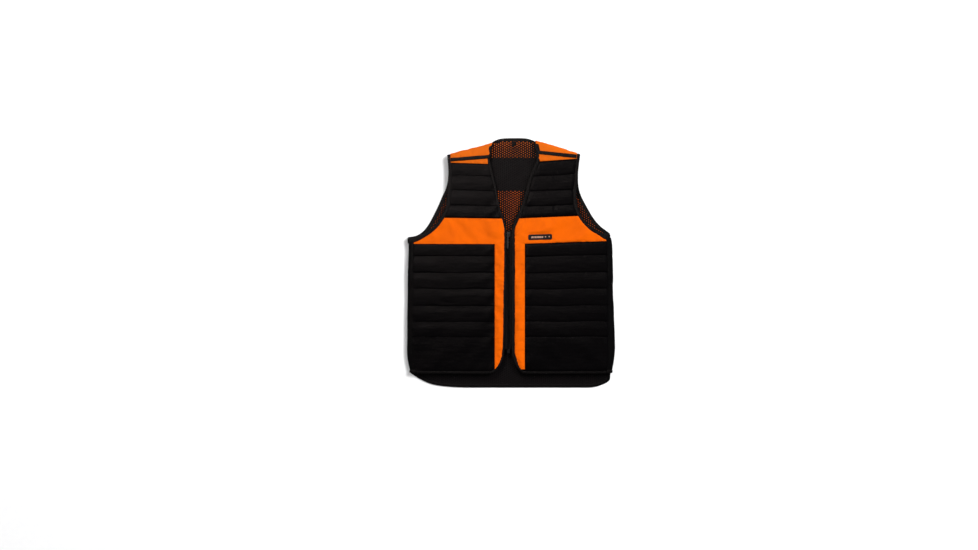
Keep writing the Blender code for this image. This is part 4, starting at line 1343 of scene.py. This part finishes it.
def hem_binding(seed):
    """The binding along the back's tail, which turns up at each side to meet the front's hem."""
    start = [
        (-0.2800, -0.3262, 19.0), (-0.2890, -0.3262, 18.8), (-0.2945, -0.3260, 15.0), (-0.2955, -0.3262, 7.5),
        (-0.2925, -0.3290, 2.6),
    ]
    end = [(-x, y, z) for x, y, z in start[::-1]]
    _, line, _, half = climbing([*start, *((x, y, 2.05) for x, y in TAIL_LINE), *end], 3.2 * MM)
    flat_part = smooth((6 * MM - line[:, 2]) / (4 * MM))[:, None]
    inward = leftward(line) * flat_part + np.array([0.0, 1.0, 0.0]) * (1 - flat_part)
    sewn_binding(
        "back_hem_edge_binding", "back_hem_stitches_inside", line, inward, half,
        np.full(len(line), HEM_BINDING), ["back_hem_binding"], on_back, -1, seed, -1,
    )


# ---------------------------------------------------------------- the zip, the label and the loop

def zip_tape(front, seed):
    """The woven tape that carries a row of teeth, cut back beside the slider."""
    node, sign = front.label + "_zip_tape", front.sign
    low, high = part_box(node)
    level = np.linspace(high.y, low.y, 90)
    shares = np.linspace(0, 1, 7)
    inner = low.x if sign > 0 else high.x
    outer = front.near(level) + sign * 1.0 * MM
    x = inner + (outer - inner)[:, None] * shares
    slider_low, slider_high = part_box("slider_body")
    beside = (level > slider_low.y - 0.6 * MM) & (level < slider_high.y + 0.6 * MM)
    x[beside, 0] = (slider_high.x if sign > 0 else slider_low.x) + sign * 0.4 * MM
    x[beside, 1] = x[beside, 0] + sign * 0.3 * MM
    flat = np.column_stack([x.ravel(), np.repeat(level, len(shares))])
    quads = quads_of(*x.shape)
    wave = 0.18 * MM * hills(flat, 55.0, seed)
    top = on_plan(flat, high.z + wave - 0.1 * MM)
    bottom = on_plan(flat, low.z + wave + 0.1 * MM)
    piece = shell(node + "_cloth", top, bottom, quads, flat[:, ::-1], ZIP_TAPE, front.body)
    dress(piece, "black_tape", node)


def zip_teeth(front):
    """A row of moulded teeth, twice as close as the CAD part's and half a pitch from the other row's."""
    node = front.label + "_zip_teeth"
    low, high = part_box(node)
    tooth = bmesh.new()
    bmesh.ops.create_cube(tooth, size=1.0)
    for v in tooth.verts:
        if v.co.x <= 0:
            v.co.y *= 0.86
            v.co.z *= 0.9
    bmesh.ops.scale(tooth, verts=tooth.verts, vec=(4.6 * MM, 1.15 * MM, high.z - low.z - 0.2 * MM))
    bmesh.ops.bevel(
        tooth, geom=tooth.edges[:], offset=0.28 * MM, segments=2, affect="EDGES", clamp_overlap=True
    )
    tooth.verts.ensure_lookup_table()
    base = np.array([v.co[:] for v in tooth.verts]) * (front.sign, 1, 1)
    faces = [[v.index for v in f.verts] for f in tooth.faces]
    tooth.free()
    pitch = 2.4 * MM
    start = low.y + (0.8 * MM if front.sign < 0 else 2.0 * MM)
    verts, all_faces = [], []
    for y in np.arange(start, high.y - 0.5 * MM, pitch):
        first = len(verts)
        verts += (base + np.array([ZIP_X + front.sign * 1.8 * MM, y, (low.z + high.z) / 2])).tolist()
        all_faces += [[i + first for i in f] for f in faces]
    piece = make(node + "_fine", verts, all_faces, np.array(verts)[:, :2], ZIP_PLASTIC, front.body)
    dress(piece, "zip_plastic", node)


def zip_parts():
    for node, width, material, slot, body in (
        ("left_top_stop", 0.35, ZIP_PLASTIC, "zip_plastic", "left_front"),
        ("right_top_stop", 0.35, ZIP_PLASTIC, "zip_plastic", "right_front"),
        ("insertion_pin", 0.35, ZIP_PLASTIC, "zip_plastic", "left_front"),
        ("retaining_box", 0.35, ZIP_PLASTIC, "zip_plastic", "right_front"),
        ("slider_body", 0.28, ZIP_METAL, "zip_metal", "zip_slider"),
        ("pull_tab", 0.3, ZIP_METAL, "zip_metal", "zip_pull"),
    ):
        softened(node + "_rounded", node, width * MM, material, body)


def on_label(a, b, z=0.0):
    """A point at a along the label patch, b up it and z above it."""
    middle = label_frame()[0]
    tilt = math.radians(1.5)
    c, s = math.cos(tilt), math.sin(tilt)
    return np.array([middle.x + a * c - b * s, middle.y + a * s + b * c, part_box("label_patch")[1].z + z])


def label_border():
    """The stitches round the patch, with rounded corners."""
    corner = 3.0 * MM
    half_long, half_high = 33.0 * MM - corner, 5.5 * MM - corner
    ring = []
    for quarter, (side, end) in enumerate(((1, 1), (-1, 1), (-1, -1), (1, -1))):
        for angle in np.radians(90 * quarter + 22.5 * np.arange(5)):
            a = side * half_long + corner * math.cos(angle)
            b = end * half_high + corner * math.sin(angle)
            ring.append(on_label(a, b, 0.05 * MM))
    ring = even(np.array([*ring, ring[0]]), 1.0 * MM)
    up = np.tile([0.0, 0.0, 1.0], (len(ring), 1))
    border = stitches(
        "label_border_stitches", ring, along(ring), up, BLACK_THREAD, 1.7 * MM, 1.3 * MM, 0.25 * MM
    )
    dress(border, "black_tape", body="left_front")


def raised_block(verts, faces, spot, wide):
    """Adds a leaning block with its top edges drawn in; spot is where it starts, in millimetres."""
    first = len(verts)
    start, end, bottom, top, rise = spot * MM, (spot + wide) * MM, -2.6 * MM, 2.4 * MM, 0.35 * MM
    for z, inset in ((-0.05 * MM, 0.0), (rise * 0.7, 0.0), (rise, 0.25 * MM)):
        for a, b in (
            (start + inset, bottom + inset), (end - inset, bottom + inset),
            (end - inset, top - inset), (start + inset, top - inset),
        ):
            verts.append(on_label(a + 0.25 * b, b, z))
    for ring in (first, first + 4):
        faces += [(ring + m, ring + (m + 1) % 4, ring + 4 + (m + 1) % 4, ring + 4 + m) for m in range(4)]
    faces.append(tuple(range(first + 8, first + 12)))


def raised_dot(verts, faces, centre, sides=12):
    """Adds a low round dot at the centre, in millimetres along the label."""
    first = len(verts)
    verts.append(on_label(centre * MM, 0.6 * MM, 0.4 * MM))
    for radius, z in ((1.5, 0.35), (2.1, -0.05)):
        for angle in 2 * math.pi * np.arange(sides) / sides:
            a, b = centre + radius * math.cos(angle), 0.6 + radius * math.sin(angle)
            verts.append(on_label(a * MM, b * MM, z * MM))
    inner, outer = first + 1, first + 1 + sides
    for m in range(sides):
        n = (m + 1) % sides
        faces += [(first, inner + m, inner + n), (inner + m, outer + m, outer + n, inner + n)]


def label_patch():
    """The patch on the wearer's left, with a sewn border and marks that say nothing."""
    patch = softened("label_patch_sewn", "label_patch", 0.4 * MM, LABEL_BLACK, "left_front", 3)
    middle = label_frame()[0]
    for v in patch.data.vertices:
        v.co.y = middle.y + (v.co.y - middle.y) * 1.1
    label_border()
    verts, faces = [], []
    spot = -26.0
    for wide in (5.4, 3.0, 4.4, 3.2, 5.2, 3.6, 4.6):
        raised_block(verts, faces, spot, wide)
        spot += wide + 0.9
    for centre in (15.5, 26.5):
        raised_dot(verts, faces, centre)
    marks = make("label_marks", verts, faces, np.array(verts)[:, :2] * 0.8, PALE_THREAD, "left_front")


def hang_loop():
    """A folded tape at the back of the neck, sewn at its upper end."""
    low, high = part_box("hang_loop")
    lower, upper = low.z + 0.4 * MM, high.z - 0.4 * MM
    radius = (upper - lower) / 2
    straight = np.linspace(0, high.y - low.y - radius - 0.4 * MM, 12)
    angle = np.radians(np.arange(15, 180, 15))
    turn_y = low.y + radius + 0.4 * MM - radius * np.sin(angle)
    turn_z = (lower + upper) / 2 - radius * np.cos(angle)
    line = np.vstack([
        np.column_stack([high.y - straight, lower + 0.15 * MM * np.sin(straight * 400)]),
        np.column_stack([turn_y, turn_z]),
        np.column_stack([high.y - straight, upper + 0.1 * MM * np.sin(straight * 300)])[::-1],
    ])
    normal = leftward(line)[:, :2]
    shares = np.linspace(0, 1, 6)
    width = high.x - low.x
    across = np.tile(width * shares, len(line))
    faces_of = [line + normal * side * 0.35 * MM for side in (1, -1)]
    layers = [np.column_stack([low.x + across, np.repeat(flat, len(shares), axis=0)]) for flat in faces_of]
    uv = np.column_stack([np.repeat(run_of(line), len(shares)), across])
    quads = quads_of(len(line), len(shares))
    piece = shell("hang_loop_tape", *layers, quads, uv, TAPE, "neck_loop")
    dress(piece, "black_tape", "hang_loop")


# ---------------------------------------------------------------- the floor, the light and the camera

def studio():
    scene = bpy.context.scene
    scene.view_settings.view_transform = "Standard"
    bpy.ops.mesh.primitive_plane_add(size=8.0, location=(0, 0, -0.0006))
    floor = bpy.context.object
    floor.name = "floor"
    floor.data.materials.append(floor_material())
    world = bpy.data.worlds.new("studio")
    world.use_nodes = True
    world.node_tree.nodes["Background"].inputs[0].default_value = (1.0, 1.0, 1.0, 1.0)
    world.node_tree.nodes["Background"].inputs[1].default_value = 0.42
    scene.world = world
    for name, place, aim, size, power, on_cloth in (
        ("key", (2.5, 1.9, 3.7), (0.0, 0.0, 0.0), 2.2, 268.0, True),
        ("fill", (-2.6, 0.4, 3.2), (0.0, 0.0, 0.0), 2.0, 34.0, True),
        ("gloss", (-0.34, 0.64, 0.85), (-0.1, 0.15, 0.0), 0.3, 66.0, False),
    ):
        data = bpy.data.lights.new(name, "AREA")
        data.shape = "DISK"
        data.size = size
        data.energy = power
        data.color = (1.0, 0.86, 0.82) if name == "gloss" else (1.0, 1.0, 1.0)
        lamp = bpy.data.objects.new(name, data)
        lamp.location = place
        lamp.rotation_euler = (Vector(aim) - Vector(place)).to_track_quat("-Z", "Y").to_euler()
        lamp.visible_diffuse = on_cloth
        lamp.visible_camera = False
        scene.collection.objects.link(lamp)
    data = bpy.data.cameras.new("camera")
    data.sensor_width = 36.0
    data.lens = 70.0
    camera = bpy.data.objects.new("camera", data)
    camera.location = (-0.0647, -0.0382, 5.60)
    scene.collection.objects.link(camera)
    scene.camera = camera


# ---------------------------------------------------------------- build

def build():
    for number, label in enumerate(("right", "left")):
        front = Front(label)
        seed = 11.3 + 7.7 * number
        hem = HEM_Y + RIM_BINDING - UNDER_BINDING
        orange_front(front, seed)
        quilted_panel(
            front, "chest_panel", front.levels["chest_seam"], front.levels["band_top"], front.near,
            CHEST_TUCKS, ("chest_panel_side", "chest_panel_flap"), seed + 1, 0.0,
        )
        quilted_panel(
            front, "lower_panel", front.levels["band_bottom"], hem, front.strip_side, LOWER_TUCKS,
            ("lower_panel_side", "lower_panel_flap", "front_wadding_side", "front_wadding_flap"), seed + 2,
            2.2 * MM,
        )
        front_lining(front, seed + 3)
        rim_binding(front, seed + 4)
        side_gusset(front, seed + 5)
        for part in (shoulder_fold, front_shoulder, shoulder_stripe):
            part(front, seed + 6)
        armhole(front, seed + 7)
        zip_tape(front, seed + 8)
        zip_teeth(front)
    back = Back()
    upper_tucks = [(0.2740, 0.8), (0.2410, 0.8)]
    lower_tucks = [(y, 0.8 * strength) for y, strength in LOWER_TUCKS[:5]]
    for name, high, low, material, slot, tucks, seed, grow in (
        ("back_yoke", BACK_HIGH, YOKE_SEAM, SHADED_YOKE_ORANGE, "orange_fabric", [], 41.0, 0.015),
        ("back_upper_panel", YOKE_SEAM, BACK_BAND_TOP, BLACK, "black_fabric", upper_tucks, 43.0, 0.02),
        ("back_band", BACK_BAND_TOP, BACK_BAND_BOTTOM, ORANGE, "orange_fabric", [], 45.0, 0.015),
        ("back_lower_panel", BACK_BAND_BOTTOM, BACK_LOW, BLACK, "black_fabric", lower_tucks, 47.0, 0.02),
    ):
        back_panel(back, name, high, low, material, slot, tucks, seed, grow)
    back_lining(back, 51.0)
    neck_binding(53.0)
    hem_binding(55.0)
    zip_parts()
    label_patch()
    hang_loop()
    settle_all()
    studio()


build()
